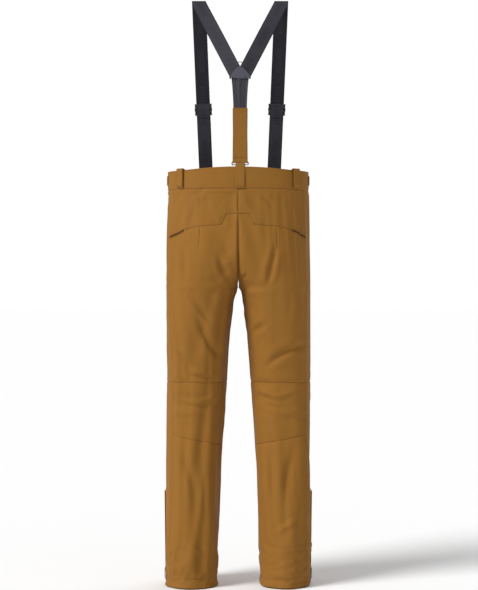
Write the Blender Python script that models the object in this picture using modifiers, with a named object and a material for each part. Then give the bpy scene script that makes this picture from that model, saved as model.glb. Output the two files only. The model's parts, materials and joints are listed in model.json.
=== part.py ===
"""Padded winter trousers with detachable elastic braces.

Units are metres, +Z up. The wearer faces -Y and the wearer's left is +X. The origin is the
centre of the waist opening, level with the top of the waistband at the sides.
"""
import math

import bmesh
import bpy
from mathutils import Matrix, Vector

# ---- driving dimensions -------------------------------------------------------------------
GAP = 0.0003                # clearance between neighbouring pieces
FABRIC = 0.004              # shell, wadding and lining together
HEM_Z = -1.112              # bottom of the legs
BAND_BOTTOM_Z = -0.050      # seam below the waistband
BACK_RISE = 0.008           # the waistband is higher at the centre back
KNEE_Z = -0.567             # upper knee seam
LOWER_KNEE_Z = -0.705       # lower knee seam at its outer end
LOWER_KNEE_DROP = 0.035     # how far the lower knee seam falls towards the inseam
SIDE_SEAM = 0.30            # outseam, as a fraction of the way round from side to centre
SEAM_MARGIN = 0.0011        # seam gap at the side of a panel, as a fraction of the way round
COLUMN_STEP = 0.10          # widest step between two columns of a back panel
ROUNDNESS = 2.3             # exponent of the leg and waist sections; 2 is an ellipse

HARNESS_X = -0.005          # the braces sit a little off the centre seam
WEBBING_WIDTH = 0.038
WEBBING = 0.0018            # thickness of the webbing
RING_WIRE = 0.0026          # diameter of the wire ring
RING_WIDTH = 0.046
RING_PITCH = 0.0072         # between the ring's two long bars
SHOULDER_X = 0.112          # shoulder fold, from the centre of the braces
SHOULDER_Z = 0.4605
SHOULDER_RADIUS = 0.006
FRONT_X = 0.095             # lower end of a front strap, from the centre of the braces
FRONT_Y = -0.1235
FRONT_Z = 0.004

ZIP_TAPE = 0.0007
SLIDER_THICK = 0.0022
PULL_THICK = 0.0012

# Sections of the left leg and hip: height, outer x, inner x, centre y, half depth.
# Above the crotch the inner side lies past the centre plane and is cut off there.
STATIONS = (
    (0.020, 0.1905, -0.1905, 0.000, 0.112),
    (-0.050, 0.1925, -0.1925, 0.001, 0.115),
    (-0.120, 0.1935, -0.1550, 0.004, 0.120),
    (-0.200, 0.1940, -0.1050, 0.008, 0.123),
    (-0.260, 0.1950, -0.0500, 0.008, 0.121),
    (-0.313, 0.1960, 0.0010, 0.006, 0.117),
    (-0.380, 0.1960, 0.0155, 0.002, 0.111),
    (-0.470, 0.1960, 0.0260, -0.004, 0.102),
    (-0.570, 0.1960, 0.0340, -0.012, 0.094),
    (-0.680, 0.1960, 0.0400, -0.010, 0.090),
    (-0.800, 0.1960, 0.0460, 0.000, 0.089),
    (-0.950, 0.1955, 0.0510, 0.010, 0.090),
    (-1.060, 0.1945, 0.0535, 0.016, 0.091),
    (-1.112, 0.1920, 0.0555, 0.018, 0.091),
)

# The back yoke's lower seam: distance from the centre plane and height
YOKE_SEAM = ((0.180, -0.1785), (0.147, -0.161), (0.114, -0.151), (0.0435, -0.146), (0.030, -0.117))
YOKE_SIDE_Z = -0.184        # where that seam meets the outseam

COLOURS = {
    "shell_ochre": ((0.330, 0.145, 0.030), 0.75, 0.0),
    "lining_grey": ((0.060, 0.060, 0.065), 0.80, 0.0),
    "webbing_slate": ((0.045, 0.043, 0.056), 0.70, 0.0),
    "elastic_ochre": ((0.290, 0.125, 0.028), 0.80, 0.0),
    "plastic_slate": ((0.055, 0.054, 0.066), 0.45, 0.0),
    "zip_brown": ((0.100, 0.045, 0.014), 0.60, 0.0),
    "metal_black": ((0.030, 0.030, 0.034), 0.35, 0.9),
    "hook_and_loop": ((0.050, 0.035, 0.020), 0.95, 0.0),
}

SIDES = (("L", 1), ("R", -1))


# ---- scene and helpers --------------------------------------------------------------------
for old in list(bpy.data.objects):
    bpy.data.objects.remove(old, do_unlink=True)

collection = bpy.data.collections.new("winter_trousers")
bpy.context.scene.collection.children.link(collection)


def make_material(name):
    colour, roughness, metallic = COLOURS[name]
    material = bpy.data.materials.new(name)
    material.use_nodes = True
    shader = material.node_tree.nodes["Principled BSDF"]
    shader.inputs["Base Color"].default_value = (*colour, 1.0)
    shader.inputs["Roughness"].default_value = roughness
    shader.inputs["Metallic"].default_value = metallic
    return material


MATERIALS = {name: make_material(name) for name in COLOURS}
BODIES = {}


def body(name, position=(0.0, 0.0, 0.0), parent=None):
    """An empty on the joint's axis that carries the pieces of one moving body."""
    empty = bpy.data.objects.new("body_" + name, None)
    empty.empty_display_size = 0.02
    empty.location = position
    collection.objects.link(empty)
    if parent:
        empty.parent = BODIES[parent]
        empty.matrix_parent_inverse = Matrix.Translation(-Vector(BODIES[parent]["axis_point"]))
    empty["axis_point"] = tuple(position)
    BODIES[name] = empty
    return Vector(position)


def finish(piece, body_name, material):
    """Give a piece its material and hang it on its body, keeping its world position."""
    piece.data.materials.append(MATERIALS[material])
    if piece.name not in collection.objects:
        collection.objects.link(piece)
    piece.parent = BODIES[body_name]
    piece.matrix_parent_inverse = Matrix.Translation(-Vector(BODIES[body_name]["axis_point"]))
    return piece


def mesh_object(name, bm, place=None):
    bmesh.ops.recalc_face_normals(bm, faces=bm.faces)
    mesh = bpy.data.meshes.new(name)
    bm.to_mesh(mesh)
    bm.free()
    mesh.shade_smooth()
    mesh.set_sharp_from_angle(angle=math.radians(40))
    piece = bpy.data.objects.new(name, mesh)
    if place is not None:
        piece.matrix_world = place
    return piece


def layered_loft(name, outer, inner, wrap=False):
    """A closed solid between two grids of points with the same rows and columns."""
    bm = bmesh.new()
    grids = [[[bm.verts.new(p) for p in row] for row in grid] for grid in (outer, inner)]
    rows, columns = len(outer), len(outer[0])
    spans = [(c, (c + 1) % columns) for c in range(columns if wrap else columns - 1)]
    for grid in grids:
        for r in range(rows - 1):
            for a, b in spans:
                bm.faces.new((grid[r][a], grid[r][b], grid[r + 1][b], grid[r + 1][a]))
    for r in (0, rows - 1):
        for a, b in spans:
            bm.faces.new((grids[0][r][a], grids[0][r][b], grids[1][r][b], grids[1][r][a]))
    if not wrap:
        for c in (0, columns - 1):
            for r in range(rows - 1):
                bm.faces.new((grids[0][r][c], grids[0][r + 1][c], grids[1][r + 1][c], grids[1][r][c]))
    return mesh_object(name, bm)


def box(name, size, place, bevel=0.0, shift=(0.0, 0.0, 0.0)):
    """A box of the given size, shifted in its own frame, with rounded edges."""
    bm = bmesh.new()
    bmesh.ops.create_cube(bm, size=1.0)
    bmesh.ops.scale(bm, vec=size, verts=bm.verts)
    bmesh.ops.translate(bm, vec=shift, verts=bm.verts)
    piece = mesh_object(name, bm, place)
    if bevel:
        rounding = piece.modifiers.new("rounded_edges", "BEVEL")
        rounding.width = bevel
        rounding.segments = 1
    return piece


def outline(name, loops, thickness, place):
    """A flat plate with the given outline and holes, centred on its own XY plane."""
    curve = bpy.data.curves.new(name, "CURVE")
    curve.dimensions = "2D"
    curve.fill_mode = "BOTH"
    curve.extrude = thickness / 2
    for loop in loops:
        spline = curve.splines.new("POLY")
        spline.points.add(len(loop) - 1)
        for point, (x, y) in zip(spline.points, loop):
            point.co = (x, y, 0.0, 1.0)
        spline.use_cyclic_u = True
    piece = bpy.data.objects.new(name, curve)
    piece.matrix_world = place
    return piece


def rounded_rectangle(width, height, radius, centre=(0.0, 0.0), steps=3):
    points = []
    for corner in range(4):
        cx = centre[0] + (width / 2 - radius) * (1 if corner in (0, 3) else -1)
        cy = centre[1] + (height / 2 - radius) * (1 if corner in (0, 1) else -1)
        for i in range(steps + 1):
            angle = math.pi / 2 * (corner + i / steps)
            points.append((cx + radius * math.cos(angle), cy + radius * math.sin(angle)))
    return points


def arc(centre, radius, start, end, steps):
    """Points on an arc, with its angles in degrees."""
    angles = [math.radians(start + (end - start) * i / steps) for i in range(steps + 1)]
    return [(centre[0] + radius * math.cos(a), centre[1] + radius * math.sin(a)) for a in angles]


def axes_matrix(x_axis, y_axis, z_axis, origin):
    matrix = Matrix.Identity(4)
    for column, vector in enumerate((x_axis, y_axis, z_axis, origin)):
        for row in range(3):
            matrix[row][column] = vector[row]
    return matrix


# ---- the trouser surface ------------------------------------------------------------------
def station(z):
    """Section values at a height, smoothly interpolated between the stations."""
    last = len(STATIONS) - 2
    i = 0
    while i < last and z < STATIONS[i + 1][0]:
        i += 1
    before, low, high, after = (STATIONS[min(max(k, 0), last + 1)] for k in range(i - 1, i + 3))
    span = high[0] - low[0]
    t = (z - low[0]) / span
    values = []
    for k in range(1, 5):
        slope_low = (high[k] - before[k]) / (high[0] - before[0])
        slope_high = (after[k] - low[k]) / (after[0] - low[0])
        values.append((2 * t ** 3 - 3 * t ** 2 + 1) * low[k] + (t ** 3 - 2 * t ** 2 + t) * span * slope_low
                      + (3 * t ** 2 - 2 * t ** 3) * high[k] + (t ** 3 - t ** 2) * span * slope_high)
    return values


def section(z, depth):
    """Centre, half axes and end angle of the section, moved in from the surface by depth."""
    outer_x, inner_x, centre_y, half_depth = station(z)
    centre_x = (outer_x + inner_x) / 2
    half_x = (outer_x - inner_x) / 2 - depth
    reach = centre_x / half_x
    end = math.acos(-max(reach, 0.0) ** (ROUNDNESS / 2)) if reach < 1 else math.pi
    return centre_x, centre_y, half_x, half_depth - depth, end


def turn(s, z, end):
    """The angle round the section. Lines of equal s run straight down the hip and drift
    towards the back over the thigh, and only the innermost ones follow the crotch."""
    t = min(max((-0.2 - z) / 0.4, 0.0), 1.0)
    spread = math.pi / 2 + 0.7 * t * t * (3 - 2 * t)
    return spread * s + (end - spread) * s ** 3


def surface(side, s, z, depth=0.0):
    """A point on the surface. s runs from -1 at the centre front, past 0 at the side, to 1
    at the centre back; below the crotch both ends are the inseam."""
    centre_x, centre_y, half_x, half_y, end = section(z, depth)
    angle = turn(s, z, end)
    c, k = math.cos(angle), math.sin(angle)
    x = centre_x + half_x * math.copysign(abs(c) ** (2 / ROUNDNESS), c)
    y = centre_y + half_y * math.copysign(abs(k) ** (2 / ROUNDNESS), k)
    return Vector((side * max(x, GAP / 2), y, z))


def position_at(x, z):
    """The s value on the back at a distance x from the centre plane."""
    centre_x, _, half_x, _, end = section(z, 0.0)
    reach = (x - centre_x) / half_x
    angle = math.acos(math.copysign(abs(reach) ** (ROUNDNESS / 2), reach))
    low, high = 0.0, 1.0
    for _ in range(30):
        middle = (low + high) / 2
        if turn(middle, z, end) < angle:
            low = middle
        else:
            high = middle
    return low


def normal(side, s, z):
    step = 0.01
    across = surface(1, s + step, z) - surface(1, s - step, z)
    down = surface(1, s, z - step) - surface(1, s, z + step)
    vector = down.cross(across).normalized()
    return Vector((side * vector.x, vector.y, vector.z))


def seated_frame(start, end, side, half_width):
    """A frame that rests on the surface between two (s, z) points: X across, Y from start to
    end, Z outwards. Its origin is the start, lifted to clear the surface under the strip."""
    first, last = surface(side, *start), surface(side, *end)
    middle = [(a + b) / 2 for a, b in zip(start, end)]
    out = normal(side, *middle)
    if start[0] == -1.0:
        first.x = last.x = 0.0
        out = Vector((0.0, -1.0, 0.0))
    along = (last - first).normalized()
    out = (out - along * out.dot(along)).normalized()
    across = along.cross(out)
    lift = 0.0
    for i in range(-10, 61):
        for j in range(-30, 31):
            t = i / 50
            s = start[0] + (end[0] - start[0]) * t + j * 0.006
            point = surface(side, s, start[1] + (end[1] - start[1]) * t) - first
            if abs(point.dot(across)) <= half_width:
                lift = max(lift, point.dot(out))
    return axes_matrix(across, along, out, first + out * lift), (last - first).length


# ---- trouser panels -----------------------------------------------------------------------
def band_top(s):
    """The waistband's upper edge, level at the front and sides and higher at the back."""
    rise = min(max((s - 0.35) / 0.65, 0.0), 1.0)
    return BACK_RISE * rise * rise * (3 - 2 * rise)


def yoke_bottom(s):
    """The yoke's lower seam, through its corner points and level between centre and corner."""
    knots = [(SIDE_SEAM, YOKE_SIDE_Z)]
    knots += [(position_at(x, z), z) for x, z in YOKE_SEAM]
    knots += [(1.0, YOKE_SEAM[-1][1])]
    for (s0, z0), (s1, z1) in zip(knots, knots[1:]):
        if s <= s1:
            return z0 + (z1 - z0) * (s - s0) / (s1 - s0)
    return knots[-1][1]


def lower_knee(s):
    return LOWER_KNEE_Z - LOWER_KNEE_DROP * (s - SIDE_SEAM) / (1 - SIDE_SEAM)


def level(z):
    return lambda s: z


def panel(name, side, columns, top, bottom, rows, material="shell_ochre"):
    """A leg panel between two seams, with the seam gap left on all four edges."""
    columns = [columns[0] + SEAM_MARGIN] + list(columns[1:-1]) + [columns[-1] - SEAM_MARGIN]
    grids = []
    for depth in (0.0, FABRIC):
        grid = []
        for r in range(rows + 1):
            t = r / rows
            grid.append([surface(side, s, (top(s) - GAP / 2) * (1 - t) + (bottom(s) + GAP / 2) * t, depth)
                         for s in columns])
        grids.append(grid)
    return finish(layered_loft(name, *grids), "trousers", material)


def make_panels():
    knots = [SIDE_SEAM] + [position_at(x, z) for x, z in YOKE_SEAM] + [1.0]
    back = [SIDE_SEAM]
    for s0, s1 in zip(knots, knots[1:]):
        steps = math.ceil((s1 - s0) / COLUMN_STEP)
        back += [s0 + (s1 - s0) * (i + 1) / steps for i in range(steps)]
    front = [-1.0, -0.96, -0.88, -0.78, -0.66, -0.54, -0.42, -0.30, -0.18, -0.06, 0.06, 0.18, SIDE_SEAM]
    for label, side in SIDES:
        panel("back_yoke_" + label, side, back, level(BAND_BOTTOM_Z), yoke_bottom, 3)
        panel("seat_" + label, side, back, yoke_bottom, level(KNEE_Z), 12)
        panel("back_knee_" + label, side, back, level(KNEE_Z), lower_knee, 4)
        panel("back_calf_" + label, side, back, lower_knee, level(HEM_Z), 9)
        panel("front_thigh_" + label, side, front, level(BAND_BOTTOM_Z), level(KNEE_Z), 12)
        panel("front_shin_" + label, side, front, level(KNEE_Z), level(HEM_Z), 13)


def make_waistband():
    back = [SIDE_SEAM, 0.4, 0.5, 0.6, 0.7, 0.8, 0.9, 0.96]
    loop = [(1, s) for s in back] + [(1, 1.0)] + [(-1, s) for s in reversed(back)]
    grids = []
    for depth in (0.0, FABRIC):
        grid = []
        for t in (0.0, 0.5, 1.0):
            row = []
            for side, s in loop:
                z = band_top(s) * (1 - t) + (BAND_BOTTOM_Z + GAP / 2) * t
                point = surface(side, s + (SEAM_MARGIN if s == SIDE_SEAM else 0.0), z, depth)
                if s == 1.0:
                    point.x = 0.0
                row.append(point)
            grid.append(row)
        grids.append(grid)
    finish(layered_loft("waistband_back", *grids), "trousers", "shell_ochre")
    front = [-1.0, -0.9, -0.78, -0.66, -0.54, -0.42, -0.30, -0.18, -0.06, 0.06, 0.18, SIDE_SEAM]
    for label, side in SIDES:
        panel("waistband_front_" + label, side, front, level(GAP / 2), level(BAND_BOTTOM_Z + GAP / 2), 2)


def make_gaiter(label, side):
    """The snow gaiter: a thin cuff inside the hem, joined to the lining at its top."""
    thickness = 0.0015
    rings = ((-0.930, 0.0065), (-0.950, 0.0090), (-1.020, 0.0110), (-1.100, 0.0130))
    columns = [-1.0 + 2.0 * i / 24 for i in range(24)]
    grids = [[[surface(side, s, z, depth + extra) for s in columns] for z, depth in rings]
             for extra in (0.0, thickness)]
    finish(layered_loft("snow_gaiter_" + label, *grids, wrap=True), "trousers", "lining_grey")


# ---- belt loops and waist adjusters -------------------------------------------------------
def make_belt_loop(name, side, s, width):
    """A fabric loop stitched to the band at its foot and folded over the band's top edge."""
    top = band_top(s)
    place, length = seated_frame((s, top), (s, BAND_BOTTOM_Z + 0.001), side, width / 2)
    stand, skin = 0.0062, 0.0014
    over = 0.0010           # clearance above the band's sloping edge
    hook = 0.0045
    # The side view: x is the height above the surface, y the distance down from the band's top
    profile = [(-FABRIC, -over), (-FABRIC, -over - skin), (stand - 0.002, -hook), (stand, -hook + 0.002),
               (stand, length - 0.006), (skin + GAP, length), (GAP, length), (GAP, length - 0.003),
               (stand - skin, length - 0.0075), (stand - skin, -hook + 0.003),
               (stand - 0.003, -hook + 0.0018)]
    side_view = axes_matrix(Vector((0, 0, 1)), Vector((0, 1, 0)), Vector((-1, 0, 0)), Vector((0, 0, 0)))
    piece = outline(name, [profile], width, place @ side_view)
    return finish(piece, "trousers", "shell_ochre")


def make_adjuster_tab(label, side):
    """A hook-and-loop tab round the side of the waistband, which peels open at its front end."""
    start, end = -0.34, 0.10
    pivot = surface(side, start, -0.0235, -0.0015)
    body("adjuster_tab_" + label, pivot, "trousers")
    columns = [start + (end - start) * i / 8 for i in range(9)]
    grids = []
    for depth in (-0.0023, -GAP):
        grid = []
        for t in (0.0, 1.0):
            grid.append([surface(side, s, -0.011 - 0.025 * t, depth) for s in columns])
        grids.append(grid)
    finish(layered_loft("adjuster_tab_" + label, *grids), "adjuster_tab_" + label, "shell_ochre")


# ---- fly and pockets ----------------------------------------------------------------------
def make_zip(name, start, end, side, width, closed_at_end):
    """A straight zip: tape, slider and pull. The slider rests at one end of the tape."""
    suffix = "_L" if side > 0 else "_R"
    place, length = seated_frame(start, end, side, width / 2)
    tape_mid = GAP + ZIP_TAPE / 2
    tape = box(name + "_tape" + suffix, (width, length, ZIP_TAPE), place,
               shift=(0.0, length / 2, tape_mid))
    finish(tape, "trousers", "zip_brown")
    rest = length - 0.030 if closed_at_end else 0.009
    slider_z = GAP * 2 + ZIP_TAPE + SLIDER_THICK / 2
    slider_name = name + "_slider" + suffix
    here = place @ Matrix.Translation((0.0, rest, slider_z))
    body(slider_name, here.translation, "trousers")
    shape = [(-0.0045, -0.006), (0.0045, -0.006), (0.0045, -0.001), (0.003, 0.006), (-0.003, 0.006),
             (-0.0045, -0.001)]
    finish(outline(slider_name, [shape], SLIDER_THICK, here), slider_name, "metal_black")
    pull_name = name + "_pull" + suffix
    pull_z = SLIDER_THICK / 2 + GAP + PULL_THICK / 2
    hinge = here @ Matrix.Translation((0.0, 0.0, pull_z))
    body(pull_name, hinge.translation, slider_name)
    blade = rounded_rectangle(0.007, 0.027, 0.0006, (0.0, 0.0129), 1)
    finish(outline(pull_name, [blade], PULL_THICK, hinge), pull_name, "plastic_slate")


def make_back_pocket(label, side):
    """The closed zip of the back pocket, in the outer end of the yoke's lower seam."""
    (outer_x, outer_z), (inner_x, inner_z) = YOKE_SEAM[:2]
    start = (position_at(inner_x, inner_z), inner_z)
    end = (position_at(outer_x, outer_z), outer_z)
    place, length = seated_frame(start, end, side, 0.004)
    strip = box("back_pocket_zip_" + label, (0.007, length, 0.0010), place,
                shift=(0.0, length / 2, GAP + 0.0005))
    finish(strip, "trousers", "zip_brown")


def make_fly():
    """The centre zip under a stitched flap, and the waist tab with its press stud."""
    place, length = seated_frame((-1.0, -0.055), (-1.0, -0.235), 1, 0.024)
    tape = box("fly_tape", (0.022, length, ZIP_TAPE), place, shift=(0.0, length / 2, GAP + ZIP_TAPE / 2))
    finish(tape, "trousers", "zip_brown")
    slider_z = GAP * 2 + ZIP_TAPE + SLIDER_THICK / 2
    here = place @ Matrix.Translation((0.0, 0.008, slider_z))
    body("fly_slider", here.translation, "trousers")
    shape = [(-0.0045, -0.006), (0.0045, -0.006), (0.0045, -0.001), (0.003, 0.006), (-0.003, 0.006),
             (-0.0045, -0.001)]
    finish(outline("fly_slider", [shape], SLIDER_THICK, here), "fly_slider", "metal_black")
    lift = SLIDER_THICK / 2 + GAP + PULL_THICK / 2
    blade = rounded_rectangle(0.007, 0.022, 0.0006, (0.0, 0.0104), 1)
    pull = outline("fly_pull", [blade], PULL_THICK, here @ Matrix.Translation((0.0, 0.0, lift)))
    finish(pull, "fly_slider", "plastic_slate")

    sewn_x = 0.0262
    flap_in, flap_out = 0.0056, 0.0074
    across = 1 if place.col[0].x > 0 else -1
    body("fly_flap", place @ Vector((across * sewn_x, length / 2, GAP + 0.0009)), "trousers")
    profile = [(sewn_x, GAP), (sewn_x, GAP + 0.0018), (0.019, flap_out), (-0.021, flap_out),
               (-0.021, flap_in), (0.018, flap_in), (0.0238, GAP + 0.0006), (0.0238, GAP)]
    profile = [(across * x, z) for x, z in profile]
    stand = axes_matrix(Vector((1, 0, 0)), Vector((0, 0, 1)), Vector((0, -1, 0)), Vector((0, length / 2, 0)))
    finish(outline("fly_flap", [profile], length, place @ stand), "fly_flap", "shell_ochre")

    tab_place, _ = seated_frame((-1.0, -0.006), (-1.0, -0.044), 1, 0.034)
    pivot = tab_place @ Vector((across * 0.031, 0.019, GAP + 0.001))
    body("waist_tab", pivot, "trousers")
    shape = rounded_rectangle(0.062, 0.036, 0.004, (0.0, 0.019), 2)
    tab_height = GAP + 0.001
    tab = outline("waist_tab", [shape], 0.002, tab_place @ Matrix.Translation((0.0, 0.0, tab_height)))
    finish(tab, "waist_tab", "shell_ochre")
    bm = bmesh.new()
    bmesh.ops.create_cone(bm, cap_ends=True, segments=20, radius1=0.0075, radius2=0.0055, depth=0.0022)
    stud_place = tab_place @ Matrix.Translation((-across * 0.018, 0.019, tab_height + 0.001 + GAP + 0.0011))
    finish(mesh_object("press_stud", bm, stud_place), "waist_tab", "metal_black")


# ---- braces -------------------------------------------------------------------------------
def make_ring(bar):
    """A rectangular wire ring with rounded corners, standing on its lower bar."""
    body("back_ring", bar, "trousers")
    path = rounded_rectangle(RING_WIDTH - RING_WIRE, RING_PITCH, 0.0025, (0.0, RING_PITCH / 2))
    curve = bpy.data.curves.new("back_ring", "CURVE")
    curve.dimensions = "3D"
    curve.bevel_depth = RING_WIRE / 2
    curve.bevel_resolution = 2
    curve.use_fill_caps = True
    spline = curve.splines.new("POLY")
    spline.points.add(len(path) - 1)
    for point, (x, y) in zip(spline.points, path):
        point.co = (x, y, 0.0, 1.0)
    spline.use_cyclic_u = True
    place = axes_matrix(Vector((1, 0, 0)), Vector((0, 0, 1)), Vector((0, -1, 0)), bar)
    piece = bpy.data.objects.new("back_ring", curve)
    piece.matrix_world = place
    finish(piece, "back_ring", "metal_black")


def make_back_loop(band_outer_y, bar):
    """The wide centre loop: outside the band, up round the ring's lower bar and down inside."""
    skin, clear = 0.0012, 0.0027
    outer_leg = band_outer_y + GAP
    middle_y = outer_leg - clear
    top = [(middle_y + (clear + skin) * math.cos(a), bar.z + (clear + skin) * math.sin(a))
           for a in (math.radians(15 * i) for i in range(13))]
    inside = [(middle_y + clear * math.cos(a), bar.z + clear * math.sin(a))
              for a in (math.radians(180 - 15 * i) for i in range(13))]
    slope = 0.0029          # how far the band leans out from its top to its lower seam
    profile = [(outer_leg + skin + slope, BAND_BOTTOM_Z + 0.002)] + top
    profile += [(middle_y - clear - skin, -0.012), (middle_y - clear, -0.012)] + inside
    profile += [(outer_leg + slope, BAND_BOTTOM_Z + 0.002)]
    place = axes_matrix(Vector((0, 1, 0)), Vector((0, 0, 1)), Vector((1, 0, 0)), Vector((HARNESS_X, 0, 0)))
    finish(outline("belt_loop_back", [profile], 0.025, place), "trousers", "shell_ochre")


def make_back_straps(bar):
    """The covered elastic, the stem and the moulded joiner, in line above the ring."""
    upper_bar = bar + Vector((0, 0, RING_PITCH))
    body("back_braces", upper_bar, "back_ring")
    apex = Vector((HARNESS_X, 0.0885, 0.2757))
    along = (apex - upper_bar).normalized()
    out = Vector((1, 0, 0)).cross(-along)
    side_view = axes_matrix(along, out, along.cross(out), upper_bar)
    clear, skin, elastic = RING_WIRE / 2 + 0.0003, 0.0012, 0.1455
    eye = arc((0.0, 0.0), clear, 0, 345, 23)
    sleeve = arc((0.0, 0.0), clear + skin, 35, 325, 14)
    body_half = 0.0016
    profile = sleeve + [(0.012, -body_half), (elastic, -body_half), (elastic, body_half), (0.012, body_half)]
    finish(outline("back_elastic", [profile, eye], 0.040, side_view), "back_braces", "elastic_ochre")

    front_view = axes_matrix(Vector((1, 0, 0)), along, Vector((1, 0, 0)).cross(along), upper_bar)
    stem_top = 0.2288
    stem = [(-0.0190, elastic + GAP), (0.0190, elastic + GAP), (0.0235, stem_top), (-0.0235, stem_top)]
    finish(outline("back_stem", [stem], WEBBING, front_view), "back_braces", "webbing_slate")

    base, tip = stem_top - 0.003, 0.2595
    lug = 0.0285
    plate = [(-lug, base), (lug, base), (lug, base + 0.006), (0.0245, base + 0.0075), (0.003, tip),
             (-0.003, tip), (-0.0245, base + 0.0075), (-lug, base + 0.006)]
    thickness = 0.0026
    outwards = -(WEBBING / 2 + GAP + thickness / 2)
    joiner = outline("y_joiner", [plate], thickness, front_view @ Matrix.Translation((0, 0, outwards)))
    finish(joiner, "back_braces", "plastic_slate")
    return front_view


def ribbon(name, centres, widths, half_width, thickness):
    """A flat strap along a path, with the direction of its width given at each point."""
    outer, inner = [], []
    for i, (centre, width) in enumerate(zip(centres, widths)):
        ahead = centres[min(i + 1, len(centres) - 1)] - centres[max(i - 1, 0)]
        face = ahead.cross(width).normalized() * (thickness / 2)
        edges = [centre + width * (half_width * k) for k in (-1, 0, 1)]
        outer.append([e + face for e in edges])
        inner.append([e - face for e in edges])
    return layered_loft(name, outer, inner)


def make_shoulder_strap(label, side, joiner_view):
    """The strap from the joiner up to the shoulder, folded over to point down the front."""
    start = joiner_view @ Vector((side * 0.0146, 0.2465, 0.0))
    centre = Vector((HARNESS_X + side * SHOULDER_X, -0.0045, SHOULDER_Z))
    fold = [centre + Vector((0, SHOULDER_RADIUS * math.cos(a), SHOULDER_RADIUS * math.sin(a)))
            for a in (math.radians(20 * i) for i in range(10))]
    slanted = joiner_view.to_3x3() @ Vector((0.74, -0.67 * side, 0.0))
    level_width = Vector((1, 0, 0))
    centres, widths = [], []
    for i in range(9):
        t = i / 9
        blend = max(0.0, (t - 0.5) / 0.5)
        blend = blend * blend * (3 - 2 * blend)
        centres.append(start.lerp(fold[0], t))
        widths.append(slanted.lerp(level_width, blend))
    centres += fold
    widths += [level_width] * len(fold)
    strap = ribbon("shoulder_strap_" + label, centres, widths, WEBBING_WIDTH / 2, WEBBING)
    finish(strap, "back_braces", "webbing_slate")


def front_strap_line(side):
    top = Vector((HARNESS_X + side * SHOULDER_X, -0.0045 - SHOULDER_RADIUS, SHOULDER_Z - 0.0010))
    foot = Vector((HARNESS_X + side * FRONT_X, FRONT_Y, FRONT_Z))
    return top, foot


def strap_frame(side):
    """X across the strap, Y down it, Z towards the front, from the strap's upper end."""
    top, foot = front_strap_line(side)
    along = (foot - top).normalized()
    across = (Vector((1, 0, 0)) - along * along.x).normalized()
    return axes_matrix(across, along, across.cross(along), top), (foot - top).length


def make_front_strap(label, side):
    """The front strap, its sliding adjuster and the hook-and-loop tab at its lower end."""
    place, length = strap_frame(side)
    out = -1 if place.col[2].y > 0 else 1
    top, foot = front_strap_line(side)
    body("front_strap_" + label, top + Vector((0, -WEBBING / 2, 0)), "back_braces")
    strap = box("front_strap_" + label, (WEBBING_WIDTH, length, WEBBING), place, shift=(0, length / 2, 0))
    finish(strap, "front_strap_" + label, "webbing_slate")

    slot = WEBBING / 2 + 0.0004
    bar = 0.0022
    at = 0.288
    frame = place @ Matrix.Translation((0, at, 0))
    body("strap_adjuster_" + label, frame.translation, "front_strap_" + label)
    profile_half = WEBBING_WIDTH / 2 + 0.0008
    post = 0.0040
    pieces = [((post, 0.032, 2 * (slot + bar)), (k * (profile_half + post / 2), 0, 0)) for k in (-1, 1)]
    inner_z = -out * (slot + bar / 2)
    span = 2 * profile_half + post
    pieces += [((span, 0.007, bar), (0, k * 0.0125, inner_z)) for k in (-1, 1)]
    pieces += [((span, 0.007, bar), (0, 0, -inner_z))]
    finish(joined_boxes("strap_adjuster_" + label, pieces, frame), "strap_adjuster_" + label, "plastic_slate")

    # The tab hangs straight down over the waistband's outer face
    tab_top = foot + Vector((0, 0, -0.0025))
    body("front_tab_" + label, tab_top + Vector((0, 0.0006, 0)), "front_strap_" + label)
    tab_place = axes_matrix(Vector((1, 0, 0)), Vector((0, 0, -1)), Vector((0, 1, 0)), tab_top)
    shape = [(-0.019, 0.0), (0.019, 0.0)] + arc((0.012, 0.041), 0.007, 0, 90, 4)
    shape += arc((-0.012, 0.041), 0.007, 90, 180, 4)
    tab = outline("front_tab_" + label, [shape], 0.0024, tab_place)
    finish(tab, "front_tab_" + label, "webbing_slate")

    patch_y = FRONT_Y + 0.0012 + 0.0005 + 0.0006
    patch_place = axes_matrix(Vector((1, 0, 0)), Vector((0, 0, -1)), Vector((0, 1, 0)),
                              Vector((HARNESS_X + side * FRONT_X, patch_y, 0)))
    patch = rounded_rectangle(0.034, 0.034, 0.003, (0.0, 0.0235), 2)
    finish(outline("loop_patch_" + label, [patch], 0.0012, patch_place), "trousers", "hook_and_loop")


def joined_boxes(name, pieces, place):
    """One solid from boxes that overlap, joined with exact unions."""
    base = None
    for i, (size, shift) in enumerate(pieces):
        part = box(f"{name}_{i}", size, Matrix.Identity(4), shift=shift)
        bpy.context.scene.collection.objects.link(part)
        if base is None:
            base = part
            continue
        union = base.modifiers.new("union", "BOOLEAN")
        union.operation = "UNION"
        union.solver = "EXACT"
        union.object = part
    depsgraph = bpy.context.evaluated_depsgraph_get()
    mesh = bpy.data.meshes.new_from_object(base.evaluated_get(depsgraph))
    for i in range(len(pieces)):
        bpy.data.objects.remove(bpy.data.objects[f"{name}_{i}"], do_unlink=True)
    piece = bpy.data.objects.new(name, mesh)
    piece.matrix_world = place
    return piece


# ---- assembly -----------------------------------------------------------------------------
body("trousers")
make_panels()
make_waistband()
for label, side in SIDES:
    make_gaiter(label, side)
    make_belt_loop("belt_loop_side_" + label, side, 0.43, 0.021)
    make_belt_loop("belt_loop_front_" + label, side, -0.50, 0.021)
    make_adjuster_tab(label, side)
    make_zip("pocket", (-0.44, -0.068), (-0.30, -0.215), side, 0.020, False)
    make_zip("cuff", (0.0, -0.865), (0.0, -1.104), side, 0.020, True)
    make_back_pocket(label, side)
make_fly()

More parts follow.
